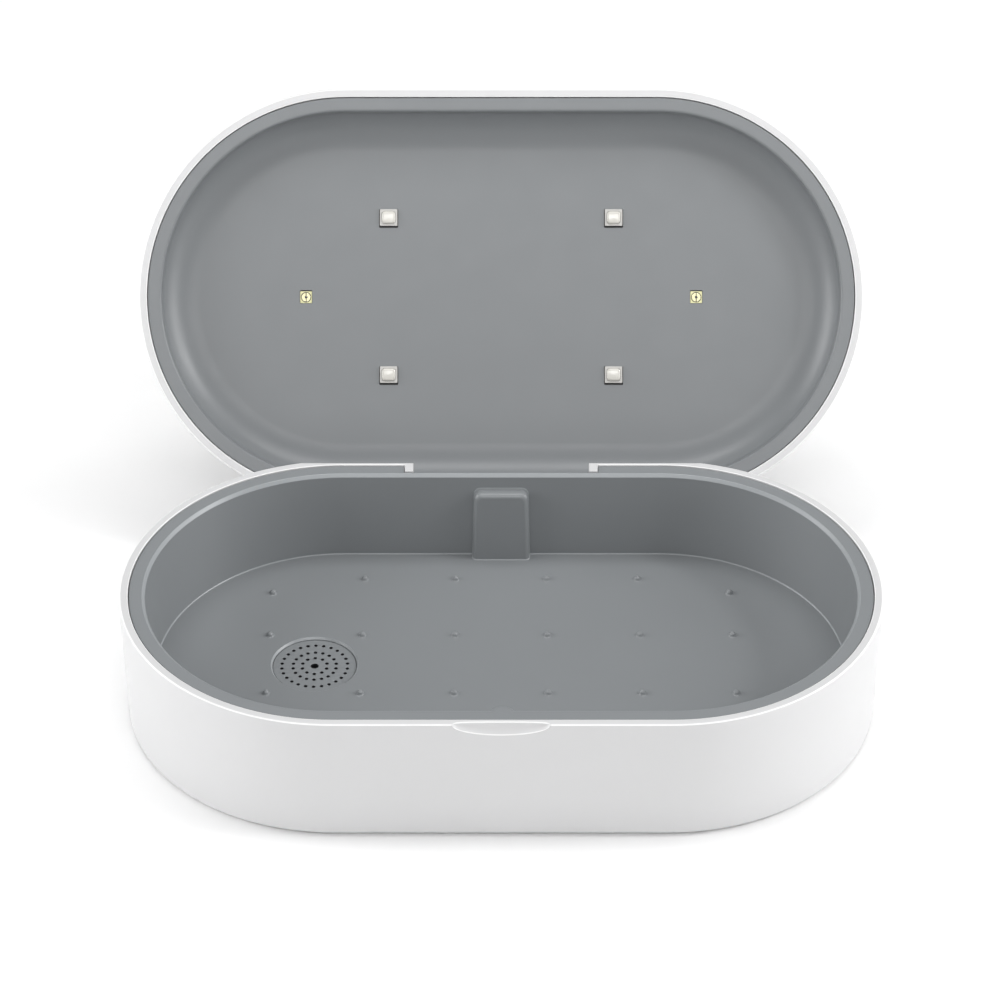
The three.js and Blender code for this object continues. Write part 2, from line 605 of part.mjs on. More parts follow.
for (const [side, tag] of [[-1, 'left'], [1, 'right']]) {
  const [low, high] = side > 0 ? [KNUCKLE_INNER + 6, EAR_HALF] : [-EAR_HALF, -KNUCKLE_INNER - 6];
  addPiece(base, `hinge_pin_${tag}`, axle(low, high, PIN_R), 'steel');
  addPiece(base, `catch_magnet_${tag}`, magnetBar(side * MAGNET_X, -56.5, -54.6, 31.4, 36.4), 'magnet');
}
CASE_SCREWS.forEach(([x, y], i) => addPiece(base, `case_screw_${i + 1}`, caseScrew(x, y), 'steel'));
BOARD_SCREWS.forEach(([x, y], i) => addPiece(base, `board_screw_${i + 1}`, boardScrew(x, y), 'steel'));

const lid = new THREE.Group();
addPiece(lid, 'lid_shell', lidShell(), 'whiteShell');
addPiece(lid, 'lid_liner', lidLiner(), 'greyLiner');
addPiece(lid, 'led_board', ledBoard(), 'whiteBoard');
WHITE_LAMPS.forEach(([x, y], i) => {
  addPiece(lid, `white_lamp_${i + 1}`, lampBody(x, y, WHITE_LAMP_SIDE, 2.3, 0.4), 'lampBody');
  addPiece(lid, `white_lamp_lens_${i + 1}`, lampLens(x, y, 2.1, 0.4, 0.6), 'lampLens');
});
UV_LAMPS.forEach(([x, y], i) => {
  addPiece(lid, `uv_emitter_${i + 1}`, lampBody(x, y, UV_LAMP_SIDE, 1.45, 0.3), 'gold');
  addPiece(lid, `uv_emitter_window_${i + 1}`, lampLens(x, y, 1.2, 0.2, 0.05), 'quartz');
});
for (const [side, tag] of [[-1, 'left'], [1, 'right']]) {
  addPiece(lid, `lid_magnet_${tag}`, magnetBar(side * MAGNET_X, -56.5, -54.95, 42.6, 47.6), 'magnet');
}
addPiece(lid, 'lid_sensor', chamferedBlock(3, 1.4, MAGNET_X, -50.1, 49.25, 50.15), 'chip');
addPiece(lid, 'lid_connector', chamferedBlock(8, 3.4, 0, 41, 51.75, 53.2), 'connector');
addPiece(lid, 'lid_ribbon', ribbon(
  [[56.9, 30.5], [56.75, 36], [56.5, 42], [56, 47.5], [54, 51.6], [50, 52.6], [43.2, 52.45]],
  RIBBON_WIDTH, 0.35), 'ribbon');
addPiece(lid, 'tact_switch', tactSwitch(), 'chip');
addPiece(lid, 'status_ring', statusRing(), 'lightGuide');
addPiece(lid, 'power_button', powerButton(), 'whiteShell');

lid.position.set(0, -HINGE_Y, -HINGE_Z);
const hinge = new THREE.Group();
hinge.position.set(0, HINGE_Y, HINGE_Z);
hinge.rotation.x = -OPEN_ANGLE;
hinge.add(lid);

const sanitizer = new THREE.Group();
sanitizer.add(base, hinge);

export default sanitizer;
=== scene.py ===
"""Looks of the oval toothbrush sanitizer: fine shells, lamps and finishes set in the fixed CAD frame."""

import json
import math

import bmesh
import bpy
from mathutils import Matrix, Vector


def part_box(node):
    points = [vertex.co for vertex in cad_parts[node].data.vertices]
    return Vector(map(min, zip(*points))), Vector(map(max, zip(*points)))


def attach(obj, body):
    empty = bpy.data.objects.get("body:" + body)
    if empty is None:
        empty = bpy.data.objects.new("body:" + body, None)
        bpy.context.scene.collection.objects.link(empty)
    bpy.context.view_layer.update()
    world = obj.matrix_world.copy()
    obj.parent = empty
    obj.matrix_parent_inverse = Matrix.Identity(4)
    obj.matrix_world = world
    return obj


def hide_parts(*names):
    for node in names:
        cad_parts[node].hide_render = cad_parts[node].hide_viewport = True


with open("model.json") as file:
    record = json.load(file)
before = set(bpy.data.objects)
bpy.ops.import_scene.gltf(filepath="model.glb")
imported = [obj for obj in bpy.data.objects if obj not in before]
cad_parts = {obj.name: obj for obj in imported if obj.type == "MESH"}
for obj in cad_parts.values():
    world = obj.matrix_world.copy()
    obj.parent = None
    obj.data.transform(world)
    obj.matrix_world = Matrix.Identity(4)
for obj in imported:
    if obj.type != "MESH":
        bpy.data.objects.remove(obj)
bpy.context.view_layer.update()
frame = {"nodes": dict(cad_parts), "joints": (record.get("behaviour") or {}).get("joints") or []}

# ---- driving sizes, in millimetres unless a comment says otherwise ----

# One millimetre in metres.
MM = 0.001


def cad_box(node):
    """A node's lowest and highest corner in millimetres."""
    low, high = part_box(node)
    return low / MM, high / MM


SHELL_LOW, SHELL_HIGH = cad_box("base_shell")
R_OUT = (SHELL_HIGH.y - SHELL_LOW.y) / 2
CORE = (SHELL_HIGH.x - SHELL_LOW.x) / 2 - R_OUT
RIM_Z = SHELL_HIGH.z
SHELL_Z = SHELL_LOW.z
TRAY_TOP_Z = cad_box("inner_tray")[1].z
HINGE = next(j for j in frame["joints"] if j["name"] == "lid_hinge")
HINGE_Y, HINGE_Z = HINGE["pos_m"][1] / MM, HINGE["pos_m"][2] / MM
OPEN_ANGLE = math.radians(HINGE["range_deg"][1])

RIM_WIDTH = 2.45
LIP_R = 0.25
DRAFT = 0.9
EDGE_R = 0.6
FLOOR_THICK = 2.0

TRAY_FLOOR_Z = 12.4
TRAY_FLOOR_R = 51.1
TRAY_THICK = 1.5
TRAY_FLANGE_IN = 53.7
TRAY_EDGE = 0.8
FLANGE_THICK = 2.1
BUMP_STEP = 26.0
BUMP_CORNER_Y = 32.5

DUCT_WIDTH = 16.3
DUCT_HEIGHT = 22.0
DUCT_PROUD = 2.9
BOSS_R = 3.7
AROMA_X = -52.0
SEAT_R = 11.75
GRILLE_R = 11.6
GRILLE_Z = 11.1
GRILLE_THICK = 1.2

NOTCH_HALF = 25.1
EAR_HALF = 27.55
EAR_FRONT = 54.4
RELIEF_HALF = 62
KNUCKLE_HALF = 24.75
KNUCKLE_INNER = 4.5
KNUCKLE_R = 2.7
BORE_R = 1.06
SOCKET_Z = 7.35

LID_RIM_Z = RIM_Z + 0.35
LID_PANEL_Z = LID_RIM_Z + 9.0
LINER_THICK = 1.4
LID_CEILING_Z = 53.8
LID_TOP_Z = 55.6
LID_TOP_R = 4.6
BOARD_Z = LID_PANEL_Z + LINER_THICK + 0.3

WHITE_X, WHITE_ROWS = 32.8, (-23.2, 22.6)
WHITE_LAMPS = [(x, y) for y in WHITE_ROWS for x in (-WHITE_X, WHITE_X)]
WHITE_WIDE, WHITE_DEEP = 5.1, 4.85
UV_X = 56.9
UV_LAMPS = [(-UV_X, 0.0), (UV_X, 0.0)]
UV_SIDE = 3.45

# How finely curves are cut: steps round each end of the oval, and sides of a large turned piece.
END_SEGMENTS = 72
FINE_SIDES = 96

# Edges sharper than this many degrees are rounded, and the shading breaks there.
SHARP_ANGLE = 32.0

# How far a surface's roughness strays from its mean.
GLOSS_SPREAD = 0.05

# The camera, in metres, degrees below the horizon and millimetres of lens.
CAMERA_PLACE = (-0.00033, -0.9074, 0.7324)
CAMERA_DOWN = 36.17
CAMERA_LENS = 149.5

# Points in metres that the lights stand round and are aimed at.
LIGHT_CENTRE = Vector((0, 0, 0.05))
LIGHT_TARGET = Vector((0, 0.02, 0.05))

# Turns lid pieces from their shut place to the open rest place.
TO_OPEN = (
    Matrix.Translation((0, HINGE_Y, HINGE_Z))
    @ Matrix.Rotation(-OPEN_ANGLE, 4, "X")
    @ Matrix.Translation((0, -HINGE_Y, -HINGE_Z))
)


# ---- materials ----


def new_material(name):
    """A material with its nodes, links, shader and the object coordinates that its patterns lie in."""
    material = bpy.data.materials.new(name)
    material.use_nodes = True
    nodes = material.node_tree.nodes
    place = nodes.new("ShaderNodeTexCoord").outputs["Object"]
    return material, nodes, material.node_tree.links, nodes["Principled BSDF"], place


def link_noise(nodes, links, vector, scale, detail=3.0):
    """Noise with so many lumps to the metre."""
    noise = nodes.new("ShaderNodeTexNoise")
    noise.inputs["Scale"].default_value = scale
    noise.inputs["Detail"].default_value = detail
    links.new(vector, noise.inputs["Vector"])
    return noise.outputs["Fac"]


def link_range(nodes, links, value, low, high):
    """Maps 0.3..0.7, where noise mostly lies, to low..high."""
    spread = nodes.new("ShaderNodeMapRange")
    spread.inputs["From Min"].default_value = 0.3
    spread.inputs["From Max"].default_value = 0.7
    spread.inputs["To Min"].default_value = low
    spread.inputs["To Max"].default_value = high
    links.new(value, spread.inputs["Value"])
    return spread.outputs["Result"]


def link_mix(nodes, links, factor, first, second):
    """Blends from the first colour to the second."""
    mix = nodes.new("ShaderNodeMix")
    mix.data_type = "RGBA"
    mix.inputs["A"].default_value = (*first, 1)
    mix.inputs["B"].default_value = (*second, 1)
    links.new(factor, mix.inputs["Factor"])
    return mix.outputs["Result"]


def link_bump(nodes, links, height, depth, bsdf):
    """Raises the surface by up to a depth in millimetres."""
    bump = nodes.new("ShaderNodeBump")
    bump.inputs["Strength"].default_value = 1.0
    bump.inputs["Distance"].default_value = depth * MM
    links.new(height, bump.inputs["Height"])
    links.new(bump.outputs["Normal"], bsdf.inputs["Normal"])


def surface(name, color, rough, grain=0.25, depth=0.004, tint=0.02, metallic=0.0, coat=0.0):
    """A moulded, cast or plated surface: fine grain, uneven gloss and a faint change of tone.

    The grain's size and depth are in millimetres.
    """
    material, nodes, links, bsdf, place = new_material(name)
    broad = link_noise(nodes, links, place, 28.0, 2.0)
    fine = link_noise(nodes, links, place, 1 / (grain * MM), 2.0)
    smudge = link_noise(nodes, links, place, 110.0, 4.0)
    darker = tuple(c * (1 - tint) for c in color)
    lighter = tuple(min(1.0, c * (1 + tint)) for c in color)
    tone = link_range(nodes, links, broad, 0, 1)
    links.new(link_mix(nodes, links, tone, darker, lighter), bsdf.inputs["Base Color"])
    low, high = rough * (1 - GLOSS_SPREAD), rough * (1 + GLOSS_SPREAD)
    links.new(link_range(nodes, links, smudge, low, high), bsdf.inputs["Roughness"])
    link_bump(nodes, links, fine, depth, bsdf)
    bsdf.inputs["Metallic"].default_value = metallic
    bsdf.inputs["Coat Weight"].default_value = coat
    return material


WHITE_COLOR = (0.62, 0.62, 0.625)
# A lighter copy of the white plastic, painted on narrow edge bands as a highlight.
WHITE_HIGHLIGHT_COLOR = (0.82, 0.82, 0.82)
TRAY_COLOR = (0.226, 0.238, 0.247)
# A lighter copy of the tray grey, painted on the tray's edges as a highlight.
TRAY_HIGHLIGHT_COLOR = [c * 1.35 for c in TRAY_COLOR]
LINER_COLOR = (0.192, 0.202, 0.210)

white_shell = surface("white_abs", WHITE_COLOR, 0.34, grain=0.5, depth=0.002, tint=0.006)
white_painted_highlight = surface("white_abs_painted_highlight", WHITE_HIGHLIGHT_COLOR, 0.34, grain=0.5, depth=0.002, tint=0.006)
grey_tray = surface("grey_tray_abs", TRAY_COLOR, 0.36, grain=0.35, depth=0.003, tint=0.01)
tray_painted_highlight = surface("grey_tray_painted_highlight", TRAY_HIGHLIGHT_COLOR, 0.34, grain=0.35, depth=0.003)
grey_liner = surface("grey_liner_abs", LINER_COLOR, 0.38, grain=0.35, depth=0.003, tint=0.005)
silicone = surface("grey_silicone", (0.16, 0.165, 0.17), 0.7, grain=0.4, depth=0.02)
steel = surface("plated_steel", (0.62, 0.63, 0.64), 0.24, grain=0.15, depth=0.003, metallic=1.0)
nickel = surface("nickel_plate", (0.66, 0.66, 0.65), 0.2, grain=0.3, depth=0.002, metallic=1.0)
epoxy = surface("black_epoxy", (0.018, 0.018, 0.02), 0.42, grain=0.1, depth=0.006)
nylon = surface("ivory_nylon", (0.76, 0.73, 0.64), 0.42, grain=0.3, depth=0.006)
lamp_white = surface("lamp_package", (0.53, 0.52, 0.50), 0.36, grain=0.2, depth=0.003, tint=0.015)
lamp_lens = surface("lamp_silicone", (0.62, 0.605, 0.56), 0.22, grain=0.6, depth=0.002, tint=0.01, coat=0.5)
pale_gold = surface("pale_gold", (0.66, 0.64, 0.36), 0.36, grain=0.12, depth=0.003, metallic=0.2)
cream_gold = surface("cream_gold", (0.92, 0.85, 0.50), 0.34, grain=0.12, depth=0.003, metallic=0.2)
dark_olive = surface("dark_olive", (0.022, 0.02, 0.005), 0.5, grain=0.12, depth=0.004)
contact_gold = surface("contact_gold", (0.95, 0.74, 0.36), 0.24, grain=0.12, depth=0.003, metallic=1.0)
frosted = surface("frosted_guide", (0.80, 0.84, 0.88), 0.34, grain=0.3, depth=0.004)


def quartz_material():
    """Clear glass, thin enough to see straight through."""
    material = surface("quartz_window", (0.55, 0.58, 0.60), 0.06, grain=0.8, depth=0.001)
    material.node_tree.nodes["Principled BSDF"].inputs["Alpha"].default_value = 0.05
    return material


def board_material(name, mask, copper):
    """Solder mask over copper: fine tracks show as slightly lighter, raised lines."""
    material, nodes, links, bsdf, place = new_material(name)
    tracks = nodes.new("ShaderNodeTexBrick")
    tracks.inputs["Scale"].default_value = 260.0
    tracks.inputs["Mortar Size"].default_value = 0.03
    tracks.inputs["Color1"].default_value = (*mask, 1)
    tracks.inputs["Color2"].default_value = (*(c * 0.93 for c in mask), 1)
    tracks.inputs["Mortar"].default_value = (*copper, 1)
    links.new(place, tracks.inputs["Vector"])
    links.new(tracks.outputs["Color"], bsdf.inputs["Base Color"])
    grain = link_noise(nodes, links, place, 3000.0)
    links.new(link_range(nodes, links, grain, 0.32, 0.46), bsdf.inputs["Roughness"])
    link_bump(nodes, links, tracks.outputs["Fac"], 0.02, bsdf)
    return material


def ribbon_material():
    """Amber film with the copper lines of a flat cable running along it."""
    material, nodes, links, bsdf, place = new_material("amber_film")
    lines = nodes.new("ShaderNodeTexWave")
    lines.bands_direction = "X"
    lines.inputs["Scale"].default_value = 320.0
    lines.inputs["Distortion"].default_value = 0.0
    links.new(place, lines.inputs["Vector"])
    color = link_mix(nodes, links, lines.outputs["Fac"], (0.42, 0.19, 0.03), (0.66, 0.38, 0.09))
    links.new(color, bsdf.inputs["Base Color"])
    links.new(link_range(nodes, links, lines.outputs["Fac"], 0.3, 0.45), bsdf.inputs["Roughness"])
    return material


def felt_material():
    """Pressed fibre: matted strands in two directions, a rough nap and mottled colour."""
    material, nodes, links, bsdf, place = new_material("pressed_felt")
    fibres = nodes.new("ShaderNodeTexWave")
    fibres.inputs["Scale"].default_value = 900.0
    fibres.inputs["Distortion"].default_value = 26.0
    fibres.inputs["Detail"].default_value = 4.0
    links.new(place, fibres.inputs["Vector"])
    blotch = link_range(nodes, links, link_noise(nodes, links, place, 420.0, 5.0), 0, 1)
    color = link_mix(nodes, links, blotch, (0.020, 0.020, 0.022), (0.042, 0.041, 0.040))
    links.new(color, bsdf.inputs["Base Color"])
    link_bump(nodes, links, fibres.outputs["Fac"], 0.12, bsdf)
    bsdf.inputs["Roughness"].default_value = 0.95
    bsdf.inputs["Sheen Weight"].default_value = 0.35
    return material


green_board = board_material("green_board", (0.02, 0.16, 0.06), (0.05, 0.26, 0.10))
dark_board = board_material("dark_board", (0.02, 0.021, 0.022), (0.035, 0.036, 0.036))
amber_film = ribbon_material()
felt = felt_material()
quartz = quartz_material()


# ---- mesh helpers ----


def arc(cx, cz, radius, start, end, steps):
    """Points of a circular arc, in degrees, both ends included."""
    points = []
    for i in range(steps + 1):
        angle = math.radians(start + (end - start) * i / steps)
        points.append((cx + radius * math.cos(angle), cz + radius * math.sin(angle)))
    return points


def to_object(bm, name, material, place=None):
    """Turns a mesh in millimetres into a shown object in metres."""
    if place is not None:
        bm.transform(place)
    bm.transform(Matrix.Scale(MM, 4))
    mesh = bpy.data.meshes.new(name)
    bm.to_mesh(mesh)
    bm.free()
    obj = bpy.data.objects.new(name, mesh)
    bpy.context.scene.collection.objects.link(obj)
    mesh.materials.append(material)
    return obj


def skin(bm, rows):
    """Joins closed rows of vertices; beside a row that is drawn to a point the faces are triangles."""
    for lower, upper in zip(rows, rows[1:]):
        for i in range(len(lower)):
            k = (i + 1) % len(lower)
            corners = [lower[i], lower[k], upper[k], upper[i]]
            loop = [v for n, v in enumerate(corners) if v not in corners[:n]]
            if len(loop) > 2:
                bm.faces.new(loop)


def oval_mesh(profile):
    """Sweeps (radius, height) points round the oval; radius 0 is the line between its ends' centres."""
    bm = bmesh.new()
    ring = []
    for side in (1, -1):
        for i in range(END_SEGMENTS + 1):
            angle = -side * math.pi / 2 + math.pi * i / END_SEGMENTS
            ring.append((side, math.cos(angle), math.sin(angle)))
    rows = []
    for radius, height in profile:
        if radius == 0:
            ends = {side: bm.verts.new((side * CORE, 0, height)) for side in (1, -1)}
            rows.append([ends[side] for side, _, _ in ring])
        else:
            rows.append([bm.verts.new((s * CORE + radius * c, radius * n, height)) for s, c, n in ring])
    skin(bm, rows)
    return bm


def lathe_mesh(profile, x=0.0, y=0.0, sides=64):
    """Turns (radius, height) points about a vertical axis."""
    bm = bmesh.new()
    turns = [2 * math.pi * i / sides for i in range(sides)]
    rows = []
    for radius, height in profile:
        if radius == 0:
            rows.append([bm.verts.new((x, y, height))] * sides)
        else:
            points = [(x + radius * math.cos(a), y + radius * math.sin(a), height) for a in turns]
            rows.append([bm.verts.new(point) for point in points])
    skin(bm, rows)
    return bm


def solid_mesh(rings):
    """A closed mesh through rings with equally many points, its first and last ring filled."""
    bm = bmesh.new()
    rows = [[bm.verts.new(point) for point in ring] for ring in rings]
    bm.faces.new(rows[0])
    bm.faces.new(rows[-1])
    skin(bm, rows)
    bmesh.ops.recalc_face_normals(bm, faces=bm.faces)
    return bm


def prism_mesh(points, low, high, axis="Z"):
    """A closed prism from a polygon of 2-D points: (x, y) along Z, (y, z) along X, or (x, z) along Y."""
    def corner(u, v, w):
        return {"Z": (u, v, w), "X": (w, u, v), "Y": (u, w, v)}[axis]
    return solid_mesh([[corner(u, v, w) for u, v in points] for w in (low, high)])


def box_mesh(x, y, z):
    return prism_mesh([(x[0], y[0]), (x[1], y[0]), (x[1], y[1]), (x[0], y[1])], z[0], z[1])


def rounded_rectangle(width, height, radius, steps=6, x=0.0, y=0.0):
    points = []
    corners = [(1, 1, 0), (-1, 1, 90), (-1, -1, 180), (1, -1, 270)]
    for sx, sy, start in corners:
        cx, cy = x + sx * (width / 2 - radius), y + sy * (height / 2 - radius)
        points += arc(cx, cy, radius, start, start + 90, steps)
    return points


def circle(radius, sides, x=0.0, y=0.0):
    return arc(x, y, radius, 0, 360, sides)[:-1]


def square_rings(x, y, rings):
    """A block through rounded rectangles, one for each (width, depth, corner radius, height)."""
    return solid_mesh([
        [(u, v, height) for u, v in rounded_rectangle(width, depth, corner, 5, x, y)]
        for width, depth, corner, height in rings
    ])


def inlet_mesh(width, height, corner, front, back, steps=8):
    """A rounded bar from front to back at the inlet's height."""
    return prism_mesh(rounded_rectangle(width, height, corner, steps, 0, SOCKET_Z), front, back, "Y")


def hinge_bar_mesh(radius, sides, low, high):
    """A round bar along the hinge axis."""
    section = [(HINGE_Y + y, HINGE_Z + z) for y, z in circle(radius, sides)]
    return prism_mesh(section, low, high, "X")


def merged(meshes):
    """One mesh from several closed meshes that touch, interlock or lie apart."""
    bm = bmesh.new()
    for part in meshes:
        mesh = bpy.data.meshes.new("part")
        part.to_mesh(mesh)
        part.free()
        bm.from_mesh(mesh)
        bpy.data.meshes.remove(mesh)
    return bm


def tool(bm, finish):
    """A hidden cutter or addition for a boolean, its faces in the piece's first finish or in its second,
    lighter one that paints a highlight.
    """
    if finish is not None:
        for face in bm.faces:
            face.material_index = finish
    obj = to_object(bm, "tool", white_shell)
    obj.data.materials.append(white_painted_highlight)
    return obj


def boolean(obj, other, operation):
    """Applies another object to a piece and removes it."""
    modifier = obj.modifiers.new(operation.lower(), "BOOLEAN")
    modifier.operation = operation
    modifier.solver = "EXACT"
    modifier.object = other
    apply_modifiers(obj)
    bpy.data.objects.remove(other)


def add(obj, bm, finish=0):
    boolean(obj, tool(bm, finish), "UNION")


def cut(obj, bm, finish=0):
    boolean(obj, tool(bm, finish), "DIFFERENCE")


def paint_highlight_bands(obj, material, bands):
    """Paints an oval piece's edge bands, each a lowest and highest radius and height, in a second, lighter
    finish as a highlight.
    """
    obj.data.materials.append(material)
    for face in obj.data.polygons:
        x, y, z = face.center / MM
        radius = math.hypot(max(abs(x) - CORE, 0), y)
        if any(r0 < radius < r1 and z0 < z < z1 for r0, r1, z0, z1 in bands):
            face.material_index = 1


def apply_modifiers(obj):
    """Replaces the mesh by what its modifiers make of it."""
    evaluated = obj.evaluated_get(bpy.context.evaluated_depsgraph_get())
    mesh = bpy.data.meshes.new_from_object(evaluated)
    obj.modifiers.clear()
    old = obj.data
    obj.data = mesh
    bpy.data.meshes.remove(old)
    mesh.name = obj.name


def soften(obj, width):
    """Merges doubled points and rounds the sharp edges by a width in millimetres."""
    bm = bmesh.new()
    bm.from_mesh(obj.data)
    bmesh.ops.remove_doubles(bm, verts=bm.verts, dist=0.002 * MM)
    bmesh.ops.dissolve_degenerate(bm, edges=bm.edges, dist=0.001 * MM)
    bm.to_mesh(obj.data)
    bm.free()
    modifier = obj.modifiers.new("edges", "BEVEL")
    modifier.width = width * MM
    modifier.segments = 2
    modifier.limit_method = "ANGLE"
    modifier.angle_limit = math.radians(SHARP_ANGLE)
    modifier.use_clamp_overlap = False
    modifier.harden_normals = False
    apply_modifiers(obj)


def shade(obj, angle):
    """Smooth shading led by the large faces, so that flats stay flat beside their rounded edges."""
    obj.data.shade_smooth()
    obj.data.set_sharp_from_angle(angle=math.radians(angle))
    weights = obj.modifiers.new("flats", "WEIGHTED_NORMAL")
    weights.keep_sharp = True
    weights.weight = 100
    weights.mode = "FACE_AREA"


def place_piece(obj, body, nodes, angle=SHARP_ANGLE):
    """Shades the piece and sets it in the frame, in place of its CAD nodes if it stands for any."""
    shade(obj, angle)
    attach(obj, body)
    if nodes:
        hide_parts(*nodes)


# ---- the tub ----


def make_base_shell():
    """The white tub: its wall drafted towards the foot, with a ledge inside that carries the tray."""
    foot_round = 1.2
    foot_r = R_OUT - DRAFT - foot_round
    inner = R_OUT - RIM_WIDTH
    ledge = TRAY_TOP_Z - FLANGE_THICK - 0.1
    wall_foot, corner = inner - 1.35, 1
    floor_top = SHELL_Z + FLOOR_THICK
    profile = [
        (0, SHELL_Z),
        *arc(foot_r, SHELL_Z + foot_round, foot_round, -90, 0, 6),
        *arc(R_OUT - EDGE_R, RIM_Z - EDGE_R, EDGE_R, 0, 90, 8),
        *arc(inner + LIP_R, RIM_Z - LIP_R, LIP_R, 90, 180, 4),
        (inner, ledge),
        (inner - 0.95, ledge),
        (wall_foot, floor_top + corner),
        (wall_foot - corner, floor_top),
        (0, floor_top),
    ]
    shell = to_object(oval_mesh(profile), "tub", white_shell)
    # Painted highlight: the outer rim fillet and the inner lip take the lighter white.
    paint_highlight_bands(shell, white_painted_highlight, [
        (R_OUT - EDGE_R, R_OUT, RIM_Z - 0.5 * EDGE_R, RIM_Z - 0.01),
        (inner, inner + LIP_R, RIM_Z - LIP_R, RIM_Z - 0.001),
    ])
    add_ears(shell)
    cut_notch(shell)
    cut(shell, scoop_mesh(), None)
    cut(shell, inlet_mesh(9.5, 3.9, 1.6, 54, 62))
    cut(shell, inlet_mesh(12.4, 6.8, 2.2, 58.4, 62))
    pad_r, pad_depth = 46.3, 0.4
    cut(shell, oval_mesh([(0, -1), (pad_r, -1), (pad_r, SHELL_Z + pad_depth), (0, SHELL_Z + pad_depth)]))
    cut(shell, hinge_bar_mesh(BORE_R, 24, -EAR_HALF - 1, EAR_HALF + 1))
    soften(shell, 0.18)
    place_piece(shell, "base", ["base_shell"])


def add_ears(shell):
    """The ears that hold the hinge pins, and the shelves between them that leave room for the cable."""
    ear_back, shelf_back = 57.9, 57.4
    low, shelf_top = 21, 22.4
    cable_half = 4.0
    for side in (-1, 1):
        ear = sorted((side * NOTCH_HALF, side * EAR_HALF))
        add(shell, box_mesh(ear, (EAR_FRONT, ear_back), (low, RIM_Z)))
        shelf = sorted((side * cable_half, side * (NOTCH_HALF + 1)))
        add(shell, box_mesh(shelf, (EAR_FRONT, shelf_back), (low, shelf_top)))


def cut_notch(shell):
    """The notch for the lid's tongue, its bottom sloping where the open lid lands, and the rim's relief."""
    slope = math.tan(OPEN_ANGLE - math.pi / 2)
    stop_y, stop_z = 55.07, 27.35
    front, back, above = 52, 61, RIM_Z + 1
    landing_end = stop_z - (back - stop_y) * slope
    notch = [(front, above), (front, stop_z), (stop_y, stop_z), (back, landing_end), (back, above)]
    cut(shell, prism_mesh(notch, -NOTCH_HALF, NOTCH_HALF, "X"))
    relief = [(R_OUT - 1.7, RIM_Z + 0.1), (R_OUT + 1, RIM_Z + 0.1), (R_OUT + 1, RIM_Z - 2.6)]
    cut(shell, prism_mesh(relief, -RELIEF_HALF, RELIEF_HALF, "X"))


def scoop_mesh():
    """The finger scoop's cutter: deepest along the rim, running out at its lower lip and its ends."""
    half, deep, tall, fullness = 12.9, 1.3, 3.6, 3.5
    columns, down, past = 64, 20, 3
    wall, outside, above = 0.05 - R_OUT, -R_OUT - 2, RIM_Z + 1
    rows = []
    for i in range(columns + 1):
        u = -0.996 * math.cos(math.pi * i / columns)
        depth = deep * (1 - abs(u) ** fullness) ** (1 / fullness)
        height = tall * math.sqrt(1 - u * u)
        lip = min(0.4, 0.3 * height)
        section = [(outside, above), (wall + depth + lip, above)]
        section += arc(wall + depth + lip, RIM_Z - lip, lip, 90, 180, 5)
        for step in range(1, down + past + 1):
            t = step / down
            section.append((wall + depth * (1 - t * t), RIM_Z - lip - (height - lip) * t))
        section.append((outside, section[-1][1]))
        rows.append([(half * u, y, z) for y, z in section])
    bm = solid_mesh(rows)
    # A painted highlight, the lighter white, lies on the middle of the rounded lip and on the last tenth of
    # the run-out.
    lip_strips, end_strip = (3, 4, 5), 25
    for number, face in enumerate(list(bm.faces)[2:]):
        strip = number % len(rows[0])
        face.material_index = 1 if strip in lip_strips or strip >= end_strip else 0
    return bm


def make_rest_pad():
    radius, edge, top = 46, 0.6, SHELL_Z + 0.35
    profile = [
        (0, 0),
        *arc(radius - edge, edge, edge, -90, 0, 5),
        (radius, top),
        (0, top),
    ]
    pad = to_object(oval_mesh(profile), "oval_pad", silicone)
    for middle in (30.0, 38.0):
        groove = [(middle - 0.6, -0.5), (middle + 0.6, -0.5), (middle + 0.4, 0.3), (middle - 0.4, 0.3)]
        cut(pad, oval_mesh([*groove, groove[0]]))
    place_piece(pad, "base", ["rest_pad"])


# ---- the tray ----


def bump_places():
    """Studs that hold the brushes up; the corners of the end columns are drawn in to follow the curve."""
    places = []
    for column in (-2.5, -1.5, -0.5, 0.5, 1.5, 2.5):
        for row in (-1.5, -0.5, 0.5, 1.5):
            corner = abs(column) > 2 and abs(row) > 1
            y = math.copysign(BUMP_CORNER_Y, row) if corner else row * BUMP_STEP
            places.append((column * BUMP_STEP, y))
    return places


def bump_profile():
    """A small dome with a flared foot that sinks just under the floor."""
    root, foot = TRAY_FLOOR_Z - 0.5, TRAY_FLOOR_Z - 0.04
    foot_r, radius, rise = 1.45, 0.98, 1.15
    base = foot + 0.08
    dome = [(radius * u, base + rise * v) for u, v in arc(0, 0, 1, 16, 84, 8)]
    return [(0, root), (foot_r, root), (foot_r, foot), (1.12, foot + 0.12), *dome, (0, base + rise)]


def wall_lean():
    """The tray wall's angle from the vertical."""
    run = TRAY_FLANGE_IN - TRAY_EDGE - TRAY_FLOOR_R
    return math.atan2(run, TRAY_TOP_Z - TRAY_EDGE - TRAY_FLOOR_Z)


def duct_mesh(width, height, foot, bevel, proud, back):
    """The block on the back wall: wider at its foot, leaning with the wall, with a rounded front."""
    half, top, corner = width / 2, width / 2 - 0.5, 2.0
    outline = [(-half, foot), (half, foot)]
    outline += arc(top - corner, height - corner, corner, 0, 90, 8)
    outline += arc(corner - top, height - corner, corner, 90, 180, 8)
    steps = 8 if bevel else 0
    rows = []
    for i in range(steps + 1):
        angle = math.pi / 2 * i / steps if steps else math.pi / 2
        front = shrunk(outline, bevel * (1 - math.sin(angle)), foot)
        depth = bevel * (1 - math.cos(angle))
        rows.append([(x, depth, z) for x, z in front])
    rows.append([(x, back, z) for x, z in outline])
    bm = solid_mesh(rows)
    lean = Matrix.Rotation(-wall_lean(), 4, "X")
    bm.transform(Matrix.Translation((0, TRAY_FLOOR_R - proud, TRAY_FLOOR_Z)) @ lean)
    return bm


